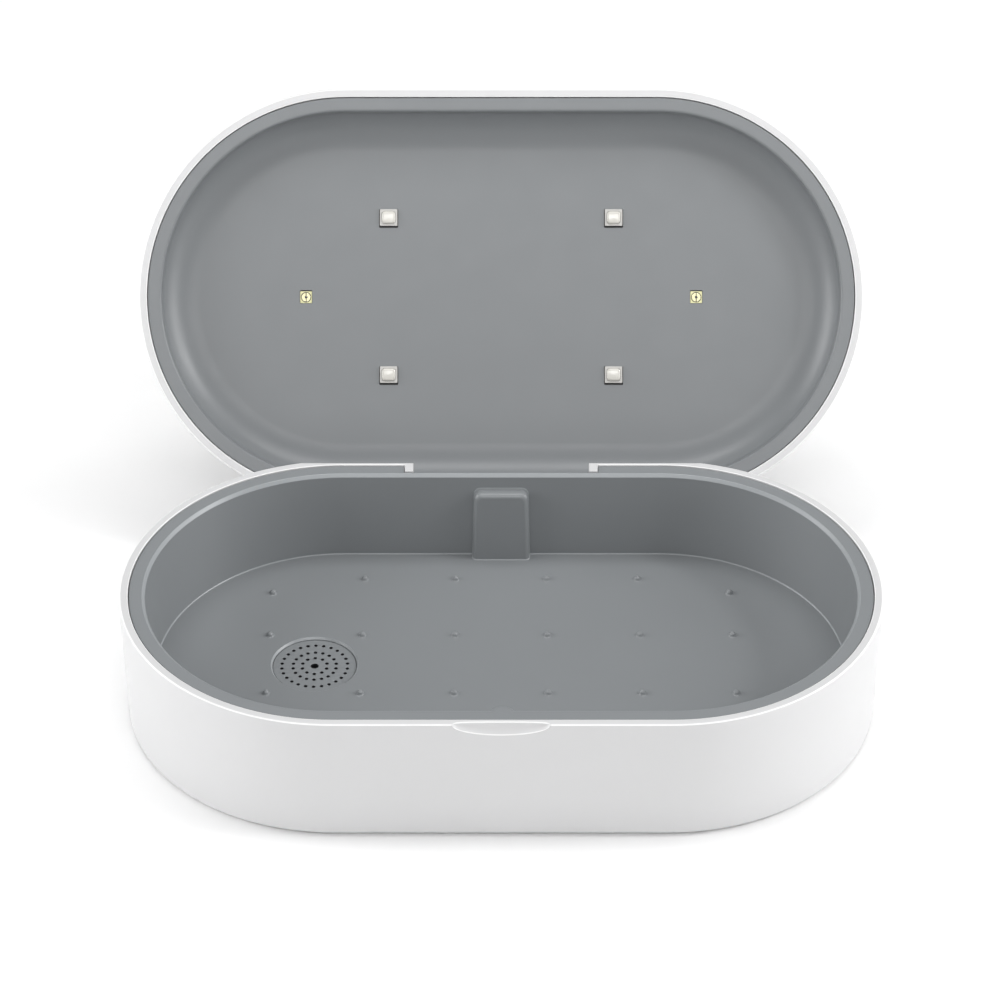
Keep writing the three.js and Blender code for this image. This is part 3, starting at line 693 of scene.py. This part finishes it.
def shrunk(outline, amount, foot):
    """Draws an outline's sides and top in by an even amount, but keeps its foot where it stands."""
    half = max(abs(x) for x, _ in outline)
    height = max(z for _, z in outline)
    across = (half - amount) / half
    down = (height - foot - amount) / (height - foot)
    return [(x * across, foot + (z - foot) * down) for x, z in outline]


def make_tray():
    """The tray: chamfered at the flange's inner edge, with a bead along the foot of its wall.

    Short steps at both ends of the chamfer and of the bead keep their shading crisp.
    """
    wall_top = TRAY_FLANGE_IN - TRAY_EDGE
    flange_out = R_OUT - RIM_WIDTH - 0.2
    under = TRAY_FLOOR_Z - 2
    bead = 0.25
    profile = [
        (0, under),
        (TRAY_FLOOR_R + TRAY_THICK - 1, under),
        (TRAY_FLOOR_R + TRAY_THICK, under + 1),
        (wall_top + TRAY_THICK, TRAY_TOP_Z - FLANGE_THICK),
        (flange_out, TRAY_TOP_Z - FLANGE_THICK),
        *arc(flange_out - LIP_R, TRAY_TOP_Z - LIP_R, LIP_R, 0, 90, 4),
        (TRAY_FLANGE_IN + 0.08, TRAY_TOP_Z),
        (TRAY_FLANGE_IN - 0.06, TRAY_TOP_Z - 0.06),
        (wall_top + 0.06, TRAY_TOP_Z - TRAY_EDGE + 0.06),
        (wall_top - 0.01, TRAY_TOP_Z - TRAY_EDGE - 0.1),
        (TRAY_FLOOR_R + 0.01, TRAY_FLOOR_Z + bead + 0.03),
        (TRAY_FLOOR_R - 0.03, TRAY_FLOOR_Z + bead - 0.05),
        (TRAY_FLOOR_R - bead + 0.03, TRAY_FLOOR_Z + 0.02),
        (TRAY_FLOOR_R - bead - 0.05, TRAY_FLOOR_Z),
        (0, TRAY_FLOOR_Z),
    ]
    tray = to_object(oval_mesh(profile), "tray", grey_tray)
    # Painted highlight: the chamfer at the flange's inner edge and the bead at the wall's foot take the
    # lighter grey.
    paint_highlight_bands(tray, tray_painted_highlight, [
        (wall_top - 0.02, TRAY_FLANGE_IN + 0.06, TRAY_TOP_Z - TRAY_EDGE - 0.07, TRAY_TOP_Z - 0.01),
        (TRAY_FLOOR_R - bead - 0.05, TRAY_FLOOR_R + 0.01, TRAY_FLOOR_Z + 0.005, TRAY_FLOOR_Z + bead + 0.02),
    ])
    add(tray, catch_boss_mesh())
    add_duct(tray, bead)
    add(tray, merged([lathe_mesh(bump_profile(), x, y, 32) for x, y in bump_places()]))
    cup_r, cup_low = 13.2, 3.2
    cup = [(0, cup_low), (cup_r, cup_low), (cup_r, under + 0.5), (0, under + 0.5)]
    add(tray, lathe_mesh(cup, AROMA_X))
    cut(tray, duct_mesh(12.4, 20.2, -4.0, 0, DUCT_PROUD - 1.3, 6.0))
    above = TRAY_FLOOR_Z + 0.6
    slope = [(11.3, 11.3), (11.78, 11.88), (12.2, 12.38), (12.3, 12.42)]
    edge = [(0, 11.3), *slope, (12.3, above), (0, above)]
    # The seat's chamfer takes the lighter grey, a painted highlight.
    cut(tray, lathe_mesh(edge, AROMA_X, 0, FINE_SIDES), 1)
    well_r, well_z, ledge_z = 10.6, 4.4, 10.4
    steps = [(well_r, well_z), (well_r, ledge_z), (SEAT_R, ledge_z), (SEAT_R, above)]
    seat = [(0, well_z), *steps, (0, above)]
    cut(tray, lathe_mesh(seat, AROMA_X, 0, FINE_SIDES))
    recess_half, recess_front = EAR_HALF + 0.2, EAR_FRONT - 0.25
    cut(tray, box_mesh((-recess_half, recess_half), (recess_front, 60), (28, 41)))
    place_piece(tray, "base", ["inner_tray"], 13)


def add_duct(tray, bead):
    """The duct block with a thin plate on the wall round it and a bead along its foot, both in the lighter
    grey as a painted highlight.
    """
    # The thin contour plate takes the lighter grey, a painted highlight.
    add(tray, duct_mesh(DUCT_WIDTH + 0.4, DUCT_HEIGHT + 0.5, 0.0, 0.12, 0.12, 2.5), 1)
    foot_y, foot_deep = TRAY_FLOOR_R - DUCT_PROUD + 3, 6
    wide, deep = DUCT_WIDTH + 2 * bead, foot_deep + 2 * bead
    foot = [
        (wide, deep, 1.5, TRAY_FLOOR_Z - 0.3),
        (wide, deep, 1.5, TRAY_FLOOR_Z + 0.01),
        (DUCT_WIDTH, foot_deep, 1.3, TRAY_FLOOR_Z + bead),
    ]
    # The foot bead takes the lighter grey, a painted highlight.
    add(tray, square_rings(0, foot_y, foot), 1)
    add(tray, duct_mesh(DUCT_WIDTH, DUCT_HEIGHT, 0.0, 1.3, DUCT_PROUD, 3.9))


def catch_boss_mesh():
    """The half-round boss that just breaks out of the middle of the front wall."""
    edge, low, top = 1.2, TRAY_FLOOR_Z - 1, TRAY_TOP_Z
    profile = [(0, low), (BOSS_R, low), *arc(BOSS_R - edge, top - edge, edge, 0, 90, 8), (0, top)]
    bm = lathe_mesh(profile, 0.3, -54.6)
    everything = [*bm.verts, *bm.edges, *bm.faces]
    bmesh.ops.bisect_plane(bm, geom=everything, plane_co=(0, -54, 0), plane_no=(0, 1, 0), clear_inner=True)
    bmesh.ops.holes_fill(bm, edges=[line for line in bm.edges if line.is_boundary])
    return bm


def make_grille():
    """The perforated disc: one filled outline with round holes, its edges rounded, its hole walls painted
    black as shade.
    """
    curve = bpy.data.curves.new("grille_curve", "CURVE")
    curve.dimensions = "2D"
    curve.fill_mode = "BOTH"
    bevel = 0.1
    curve.extrude = (GRILLE_THICK / 2 - bevel) * MM
    curve.bevel_depth = bevel * MM
    curve.bevel_resolution = 2
    # Each ring's number of holes, its radius and the radius of its holes.
    rings = [(1, 0.0, 1.1), (10, 3.54, 0.5), (18, 6.05, 0.5), (26, 9.2, 0.5)]
    outlines = [circle(GRILLE_R - bevel, FINE_SIDES)]
    for count, radius, hole in rings:
        for i in range(count):
            angle = math.pi / 2 + 2 * math.pi * i / count
            outlines.append(circle(hole + bevel, 20, radius * math.cos(angle), radius * math.sin(angle)))
    for outline in outlines:
        spline = curve.splines.new("POLY")
        spline.points.add(len(outline) - 1)
        spline.use_cyclic_u = True
        for point, (x, y) in zip(spline.points, outline):
            point.co = (x * MM, y * MM, 0, 1)
    source = bpy.data.objects.new("grille_source", curve)
    bpy.context.scene.collection.objects.link(source)
    bpy.context.view_layer.update()
    mesh = bpy.data.meshes.new_from_object(source.evaluated_get(bpy.context.evaluated_depsgraph_get()))
    bpy.data.objects.remove(source)
    bm = bmesh.new()
    bm.from_mesh(mesh)
    bpy.data.meshes.remove(mesh)
    bmesh.ops.remove_doubles(bm, verts=bm.verts, dist=0.001 * MM)
    bmesh.ops.recalc_face_normals(bm, faces=bm.faces)
    bm.transform(Matrix.Scale(1 / MM, 4))
    centre = Vector((AROMA_X, 0, GRILLE_Z))
    grille = to_object(bm, "diffuser_grille", grey_tray, Matrix.Translation(centre))
    # Painted shade: the hole walls take the black epoxy so that the holes read dark.
    grille.data.materials.append(epoxy)
    for face in grille.data.polygons:
        off = (face.center / MM - centre).to_2d().length
        if abs(face.normal.z) < 0.3 and off < GRILLE_R - 0.6:
            face.material_index = 1
    place_piece(grille, "grille", ["aroma_grille"], 35)


def make_aroma_pad():
    """A pressed felt disc, slightly crowned, its side drawn in and its faces uneven."""
    low, high = cad_box("aroma_pad")
    radius = (high.x - low.x) / 2
    height = high.z - low.z
    draw_in, crown = 0.06, 0.25
    rings, side_steps = 14, 8
    face_r = radius * (1 - draw_in)
    profile = [(0, low.z)]
    for i in range(1, rings + 1):
        profile.append((face_r * i / rings, low.z))
    for i in range(1, side_steps):
        t = i / side_steps
        profile.append((radius * (1 - draw_in * abs(2 * t - 1) ** 3), low.z + height * t))
    for i in range(rings, -1, -1):
        profile.append((face_r * i / rings, high.z - crown * (i / rings) ** 4))
    pad = to_object(lathe_mesh(profile, AROMA_X, 0, 72), "felt_pad", felt)
    texture = bpy.data.textures.new("felt_lumps", "CLOUDS")
    texture.noise_scale = 0.0016
    lumps = pad.modifiers.new("lumps", "DISPLACE")
    lumps.texture = texture
    lumps.texture_coords = "GLOBAL"
    lumps.strength = 0.2 * MM
    lumps.mid_level = 1.0
    apply_modifiers(pad)
    place_piece(pad, "base", ["aroma_pad"], 60)


# ---- the lid ----


def make_lid_shell():
    """The white cover, built shut and then turned open."""
    inner = R_OUT - RIM_WIDTH
    step = LID_RIM_Z + 2.55
    profile = [
        (0, LID_CEILING_Z),
        *arc(inner - 4, LID_CEILING_Z - 3.3, 3.3, 90, 0, 8),
        (inner - 0.7, step),
        (inner, step),
        *arc(inner + LIP_R, LID_RIM_Z + LIP_R, LIP_R, 180, 270, 4),
        *arc(R_OUT - EDGE_R, LID_RIM_Z + EDGE_R, EDGE_R, -90, 0, 8),
        *arc(R_OUT - 0.3 - LID_TOP_R, LID_TOP_Z - LID_TOP_R, LID_TOP_R, 0, 90, 16),
        (0, LID_TOP_Z),
    ]
    shell = to_object(oval_mesh(profile), "lid_cover", white_shell)
    # Painted highlight: the outer rim fillet and the inner lip take the lighter white.
    paint_highlight_bands(shell, white_painted_highlight, [
        (R_OUT - EDGE_R, R_OUT, LID_RIM_Z + 0.01, LID_RIM_Z + 0.5 * EDGE_R),
        (inner, inner + LIP_R, LID_RIM_Z + 0.001, LID_RIM_Z + LIP_R),
    ])
    add_tongue(shell)
    relief = [(R_OUT - 1.4, LID_RIM_Z - 0.1), (R_OUT + 1, LID_RIM_Z - 0.1), (R_OUT + 1, LID_RIM_Z + 2.3)]
    cut(shell, prism_mesh(relief, -RELIEF_HALF, -NOTCH_HALF, "X"))
    cut(shell, prism_mesh(relief, NOTCH_HALF, RELIEF_HALF, "X"))
    button_hole_r = 8.3
    cut(shell, prism_mesh(circle(button_hole_r, FINE_SIDES), 50, 60))
    soften(shell, 0.18)
    shell.data.transform(open_metres())
    place_piece(shell, "lid", ["lid_shell"])


def add_tongue(shell):
    """The tongue with its two knuckles on the hinge pins, and the sleeve that the cable runs up in."""
    tongue_in, tongue_out = R_OUT - RIM_WIDTH - 0.2, R_OUT - 0.3
    sleeve, bore = 4.5, 2.9
    sleeve_foot = HINGE_Z + 2.6
    add(shell, box_mesh((-KNUCKLE_HALF, KNUCKLE_HALF), (tongue_in, tongue_out), (HINGE_Z, LID_RIM_Z + 1)))
    add(shell, box_mesh((-sleeve, sleeve), (tongue_in - 1.8, tongue_in + 0.5), (sleeve_foot, LID_RIM_Z)))
    for side in (-1, 1):
        low, high = sorted((side * KNUCKLE_INNER, side * KNUCKLE_HALF))
        add(shell, hinge_bar_mesh(KNUCKLE_R, 48, low, high))
    cut(shell, box_mesh((-KNUCKLE_INNER, KNUCKLE_INNER), (50, 61), (HINGE_Z - 4, sleeve_foot)))
    cut(shell, box_mesh((-bore, bore), (tongue_in - 1.2, tongue_in), (HINGE_Z + 1, LID_RIM_Z + 1)))
    cut(shell, hinge_bar_mesh(BORE_R, 24, -KNUCKLE_HALF - 1, KNUCKLE_HALF + 1))


def open_metres():
    """The opening turn for meshes that are already in metres."""
    return Matrix.Scale(MM, 4) @ TO_OPEN @ Matrix.Scale(1 / MM, 4)


def make_lid_liner():
    """The grey lining: a flange, a wide cove and a flat panel with a window for each lamp."""
    flange_out = R_OUT - RIM_WIDTH - 0.17
    flange_z = LID_RIM_Z + 0.3
    edge_r, back_r = 0.8, 0.2
    wall_r, cove_run = 53.3, 11.0
    cove_rise = LID_PANEL_Z - flange_z - edge_r
    cove_x, cove_z = wall_r - cove_run, flange_z + edge_r
    flange_top = LID_RIM_Z + 2.25
    back_start = math.degrees(math.asin((flange_top - cove_z) / (cove_rise + LINER_THICK)))
    profile = [
        (0, LID_PANEL_Z),
        *cove(cove_x, cove_z, cove_run, cove_rise, 90, 0, 40),
        *arc(wall_r + edge_r, cove_z, edge_r, 180, 270, 8)[1:],
        *arc(flange_out - back_r, flange_z + back_r, back_r, -90, 0, 4),
        (flange_out, flange_top),
        *cove(cove_x, cove_z, cove_run + LINER_THICK, cove_rise + LINER_THICK, back_start, 90, 20),
        (0, LID_PANEL_Z + LINER_THICK),
    ]
    liner = to_object(oval_mesh(profile), "lid_lining", grey_liner)
    # Each window's centre, width and depth, and how far it sits off its lamp's centre.
    windows = [(x, y, WHITE_WIDE + 0.4, WHITE_DEEP + 0.6, 0.28) for x, y in WHITE_LAMPS]
    windows += [(x, y, UV_SIDE + 0.15, UV_SIDE + 0.35, -0.12) for x, y in UV_LAMPS]
    for x, y, width, depth, shift in windows:
        opening = rounded_rectangle(width, depth, 0.25, 4, x, y + shift)
        cut(liner, prism_mesh(opening, LID_PANEL_Z - 1, LID_PANEL_Z + LINER_THICK + 1))
    cut(liner, box_mesh((-3.4, 3.4), (55.7, 58), (LID_RIM_Z, LID_RIM_Z + 4)))
    liner.data.transform(open_metres())
    place_piece(liner, "lid", ["lid_liner"], 40)


def cove(cx, cz, run, rise, start, end, steps):
    """A quarter ellipse in which the wall sweeps into the panel."""
    return [(cx + run * u, cz + rise * v) for u, v in arc(0, 0, 1, start, end, steps)]


def make_white_lamp(index, x, y):
    """A square white package that stands a little out of the panel, with a soft cushion of a lens."""
    face = LID_PANEL_Z - 0.5
    wide, deep = WHITE_WIDE, WHITE_DEEP
    body_rings = [
        (wide, deep, 0.25, BOARD_Z - 0.3),
        (wide, deep, 0.25, face + 0.1),
        (wide - 0.06, deep - 0.06, 0.22, face + 0.02),
        (wide - 0.2, deep - 0.2, 0.2, face),
        (wide - 1.0, deep - 1.0, 0.9, face),
        (wide - 1.1, deep - 1.1, 0.9, face + 0.25),
    ]
    body = to_object(square_rings(x, y, body_rings), f"lamp_package_{index}", lamp_white, TO_OPEN)
    place_piece(body, "lid", [f"white_lamp_{index}"], 50)
    lens_inset, roll, bulge, steps = 1.15, 1.5, 0.62, 10
    lens_rings = [(wide - lens_inset, deep - lens_inset, 0.9, face + 0.2)]
    for step in range(steps + 1):
        angle = math.radians(90 * step / steps)
        inset = lens_inset + roll * (1 - math.cos(angle))
        corner = 0.95 - 0.2 * step / steps
        lens_rings.append((wide - inset, deep - inset, corner, face + 0.02 - bulge * math.sin(angle)))
    lens_rings.append((0.5, 0.4, 0.18, face - 0.66))
    lens = to_object(square_rings(x, y, lens_rings), f"lamp_lens_{index}", lamp_lens, TO_OPEN)
    place_piece(lens, "lid", [f"white_lamp_lens_{index}"], 60)


def make_uv_emitter(index, x, y):
    """A pale gold package: a round well, two bright half-moon pads, a dark chip and a clear window."""
    face = LID_PANEL_Z + 0.12
    well_r, pad_r, bite_r, pane_r, chip_side = 1.52, 1.27, 0.42, 1.5, 0.62
    rings = [
        (UV_SIDE, UV_SIDE, 0.15, BOARD_Z - 0.3),
        (UV_SIDE, UV_SIDE, 0.15, face + 0.06),
        (UV_SIDE - 0.1, UV_SIDE - 0.1, 0.12, face),
    ]
    package = to_object(square_rings(x, y, rings), f"emitter_package_{index}", pale_gold)
    cut(package, prism_mesh(circle(well_r, 64, x, y), face - 1, face + 0.5))
    package.data.transform(open_metres())
    place_piece(package, "lid", [f"uv_emitter_{index}"])

    shift = TO_OPEN @ Matrix.Translation((x, y, 0))
    disc_r = well_r - 0.01
    disc = [(0, face + 0.4), (disc_r, face + 0.4), (disc_r, face + 0.46), (0, face + 0.46)]
    well = to_object(lathe_mesh(disc), f"emitter_well_{index}", dark_olive, shift)
    place_piece(well, "lid", [])

    moons = []
    for side in (-1, 1):
        moon = [(side * u, v) for u, v in arc(0, 0, pad_r, -84.5, 84.5, 28)]
        bite = [(side * u, v) for u, v in arc(0, 0, bite_r, 73, -73, 10)]
        moons.append(prism_mesh(moon + bite, face + 0.05, face + 0.38))
    pads = to_object(merged(moons), f"emitter_pads_{index}", cream_gold, shift)
    place_piece(pads, "lid", [])

    chip_rings = [
        (chip_side, chip_side, 0.05, face + 0.38),
        (chip_side, chip_side, 0.05, face + 0.14),
        (chip_side - 0.08, chip_side - 0.08, 0.04, face + 0.1),
    ]
    eighth = Matrix.Rotation(math.radians(45), 4, "Z")
    chip = to_object(square_rings(0, 0, chip_rings), f"emitter_chip_{index}", epoxy, shift @ eighth)
    place_piece(chip, "lid", [])

    front, back = face - 0.05, face + 0.02
    pane = [(0, front), (pane_r - 0.06, front), (pane_r, front + 0.03), (pane_r, back), (0, back)]
    window = to_object(lathe_mesh(pane), f"emitter_pane_{index}", quartz, shift)
    place_piece(window, "lid", [f"uv_emitter_window_{index}"])


def make_button():
    """The press button with a shallow finger dish, and the light ring round it."""
    top, foot, flange_top = LID_TOP_Z - 0.1, 53.2, 53.7
    profile = [
        (0, foot),
        (7.7, foot),
        (7.7, flange_top),
        (6.8, flange_top),
        *arc(6.5, top - 0.3, 0.3, 0, 90, 5),
        (5.9, top - 0.02),
        (5.0, top - 0.1),
        (3.8, top - 0.24),
        (2.6, top - 0.35),
        (1.3, top - 0.42),
        (0, top - 0.45),
    ]
    button = to_object(lathe_mesh(profile, 0, 0, FINE_SIDES), "push_button", white_shell, TO_OPEN)
    place_piece(button, "button", ["power_button"], 40)
    ring_in, ring_out, ring_foot, edge = 7.1, 8, 54, 0.1
    ring = [
        (ring_in, ring_foot),
        (ring_out, ring_foot),
        *arc(ring_out - edge, LID_TOP_Z - edge, edge, 0, 90, 2),
        *arc(ring_in + edge, LID_TOP_Z - edge, edge, 90, 180, 2),
        (ring_in, ring_foot),
    ]
    guide = to_object(lathe_mesh(ring, 0, 0, FINE_SIDES), "light_ring", frosted, TO_OPEN)
    merge_doubles(guide)
    place_piece(guide, "lid", ["status_ring"])


def merge_doubles(obj):
    """Closes the seam of a mesh whose profile ends where it started."""
    bm = bmesh.new()
    bm.from_mesh(obj.data)
    bmesh.ops.remove_doubles(bm, verts=bm.verts, dist=0.001 * MM)
    bm.to_mesh(obj.data)
    bm.free()


# ---- hardware that shows at the back and through gaps ----


def finish_cad_nodes():
    """The inner pieces keep their CAD shape and get their own finishes."""
    finishes = {
        "main_board": green_board, "led_board": dark_board, "controller_chip": epoxy, "boost_coil": epoxy,
        "lid_sensor": epoxy, "tact_switch": epoxy, "base_connector": nylon, "lid_connector": nylon,
        "base_ribbon": amber_film, "lid_ribbon": amber_film, "catch_magnet_left": nickel,
        "catch_magnet_right": nickel, "lid_magnet_left": nickel, "lid_magnet_right": nickel,
    }
    for i in range(1, 5):
        finishes[f"case_screw_{i}"] = steel
    for i in range(1, 3):
        finishes[f"board_screw_{i}"] = steel
    for node, material in finishes.items():
        obj = frame["nodes"][node]
        obj.data.materials.clear()
        obj.data.materials.append(material)
        bevel = obj.modifiers.new("edges", "BEVEL")
        bevel.width = 0.04 * MM
        bevel.segments = 2
        bevel.limit_method = "ANGLE"
        bevel.angle_limit = math.radians(40)


def make_hinge_pins():
    radius, chamfer = 1.0, 0.2
    lay = Matrix.Translation((0, HINGE_Y, HINGE_Z)) @ Matrix.Rotation(math.pi / 2, 4, "Y")
    for tag in ("left", "right"):
        low, high = cad_box(f"hinge_pin_{tag}")
        profile = [
            (0, low.x),
            (radius - chamfer, low.x),
            (radius, low.x + chamfer),
            (radius, high.x - chamfer),
            (radius - chamfer, high.x),
            (0, high.x),
        ]
        pin = to_object(lathe_mesh(profile, 0, 0, 32), f"steel_pin_{tag}", steel, lay)
        place_piece(pin, "base", [f"hinge_pin_{tag}"])


def make_socket():
    """The inlet: a drawn steel shell with a rounded mouth, and the tongue with its row of contacts."""
    low, high = cad_box("usb_socket_shell")
    shell = to_object(inlet_mesh(8.94, 3.26, 1.4, low.y, high.y), "inlet_shell", steel)
    cut(shell, inlet_mesh(8.34, 2.66, 1.1, low.y - 1, high.y + 1))
    soften(shell, 0.1)
    place_piece(shell, "base", ["usb_socket_shell"])

    tongue_half, tongue_thick = 3.35, 0.35
    tongue = to_object(inlet_mesh(8.1, 2.42, 1.0, 51.4, 53, 6), "inlet_tongue", epoxy)
    blade = (SOCKET_Z - tongue_thick, SOCKET_Z + tongue_thick)
    add(tongue, box_mesh((-tongue_half, tongue_half), (52.5, 57.9), blade))
    soften(tongue, 0.08)
    place_piece(tongue, "base", ["usb_socket_tongue"])

    count, pitch, half, thick = 12, 0.5, 0.13, 0.04
    strips = []
    for i in range(count):
        x = (i - (count - 1) / 2) * pitch
        for low_z in (SOCKET_Z - 0.38, SOCKET_Z + 0.34):
            strips.append(box_mesh((x - half, x + half), (53.4, 57.3), (low_z, low_z + thick)))
    contacts = to_object(merged(strips), "inlet_contacts", contact_gold)
    place_piece(contacts, "base", [])


# ---- studio ----


def area_light(name, direction, distance, size, power):
    """A softbox aimed at the object; direction is its azimuth from +X and its elevation, in degrees."""
    azimuth, elevation = (math.radians(a) for a in direction)
    level = math.cos(elevation)
    away = Vector((level * math.cos(azimuth), level * math.sin(azimuth), math.sin(elevation))) * distance
    data = bpy.data.lights.new(name, "AREA")
    data.shape = "RECTANGLE"
    data.size, data.size_y = size
    data.energy = power
    light = bpy.data.objects.new(name, data)
    light.location = away + LIGHT_CENTRE
    light.rotation_euler = (LIGHT_TARGET - light.location).to_track_quat("-Z", "Y").to_euler()
    bpy.context.scene.collection.objects.link(light)


def make_studio():
    """A pale floor, a world that fades out overhead, four softboxes and a small key lamp."""
    bm = bmesh.new()
    bmesh.ops.create_grid(bm, x_segments=1, y_segments=1, size=6.0)
    mesh = bpy.data.meshes.new("floor")
    bm.to_mesh(mesh)
    bm.free()
    floor = bpy.data.objects.new("floor", mesh)
    bpy.context.scene.collection.objects.link(floor)
    paper = surface("pale_floor", (0.97, 0.97, 0.97), 0.7, grain=3, depth=0.0, tint=0.0)
    floor.data.materials.append(paper)

    world = bpy.data.worlds.new("studio")
    world.use_nodes = True
    nodes, links = world.node_tree.nodes, world.node_tree.links
    height = nodes.new("ShaderNodeSeparateXYZ")
    links.new(nodes.new("ShaderNodeTexCoord").outputs["Generated"], height.inputs["Vector"])
    fade = nodes.new("ShaderNodeMapRange")
    fade.interpolation_type = "SMOOTHSTEP"
    fade.inputs["From Min"].default_value = 0.10
    fade.inputs["From Max"].default_value = 0.55
    fade.inputs["To Min"].default_value = 0.9
    fade.inputs["To Max"].default_value = 0.0
    links.new(height.outputs["Z"], fade.inputs["Value"])
    nodes["Background"].inputs["Color"].default_value = (1, 1, 1, 1)
    links.new(fade.outputs["Result"], nodes["Background"].inputs["Strength"])
    bpy.context.scene.world = world
    area_light("top_softbox", (90, 80), 1.5, (1.4, 0.5), 11.2)
    area_light("front_softbox", (-90, 45), 1.5, (1.4, 0.25), 7.9)
    area_light("left_softbox", (180, 22), 1.4, (1.0, 0.7), 12.4)
    area_light("right_softbox", (0, 22), 1.4, (1.0, 0.7), 10.0)
    area_light("key_lamp", (-4, 40), 1.5, (0.2, 0.2), 4.6)


def make_camera():
    data = bpy.data.cameras.new("camera")
    data.sensor_width = 36.0
    data.lens = CAMERA_LENS
    data.clip_start, data.clip_end = 0.05, 20.0
    camera = bpy.data.objects.new("camera", data)
    camera.location = CAMERA_PLACE
    camera.rotation_euler = (math.radians(90 - CAMERA_DOWN), 0, 0)
    bpy.context.scene.collection.objects.link(camera)
    bpy.context.scene.camera = camera
    bpy.context.scene.view_settings.view_transform = "Standard"


make_camera()
make_studio()
make_base_shell()
make_rest_pad()
make_tray()
make_grille()
make_aroma_pad()
make_lid_shell()
make_lid_liner()
for number, (lamp_x, lamp_y) in enumerate(WHITE_LAMPS, 1):
    make_white_lamp(number, lamp_x, lamp_y)
for number, (lamp_x, lamp_y) in enumerate(UV_LAMPS, 1):
    make_uv_emitter(number, lamp_x, lamp_y)
make_button()
make_hinge_pins()
make_socket()
finish_cad_nodes()
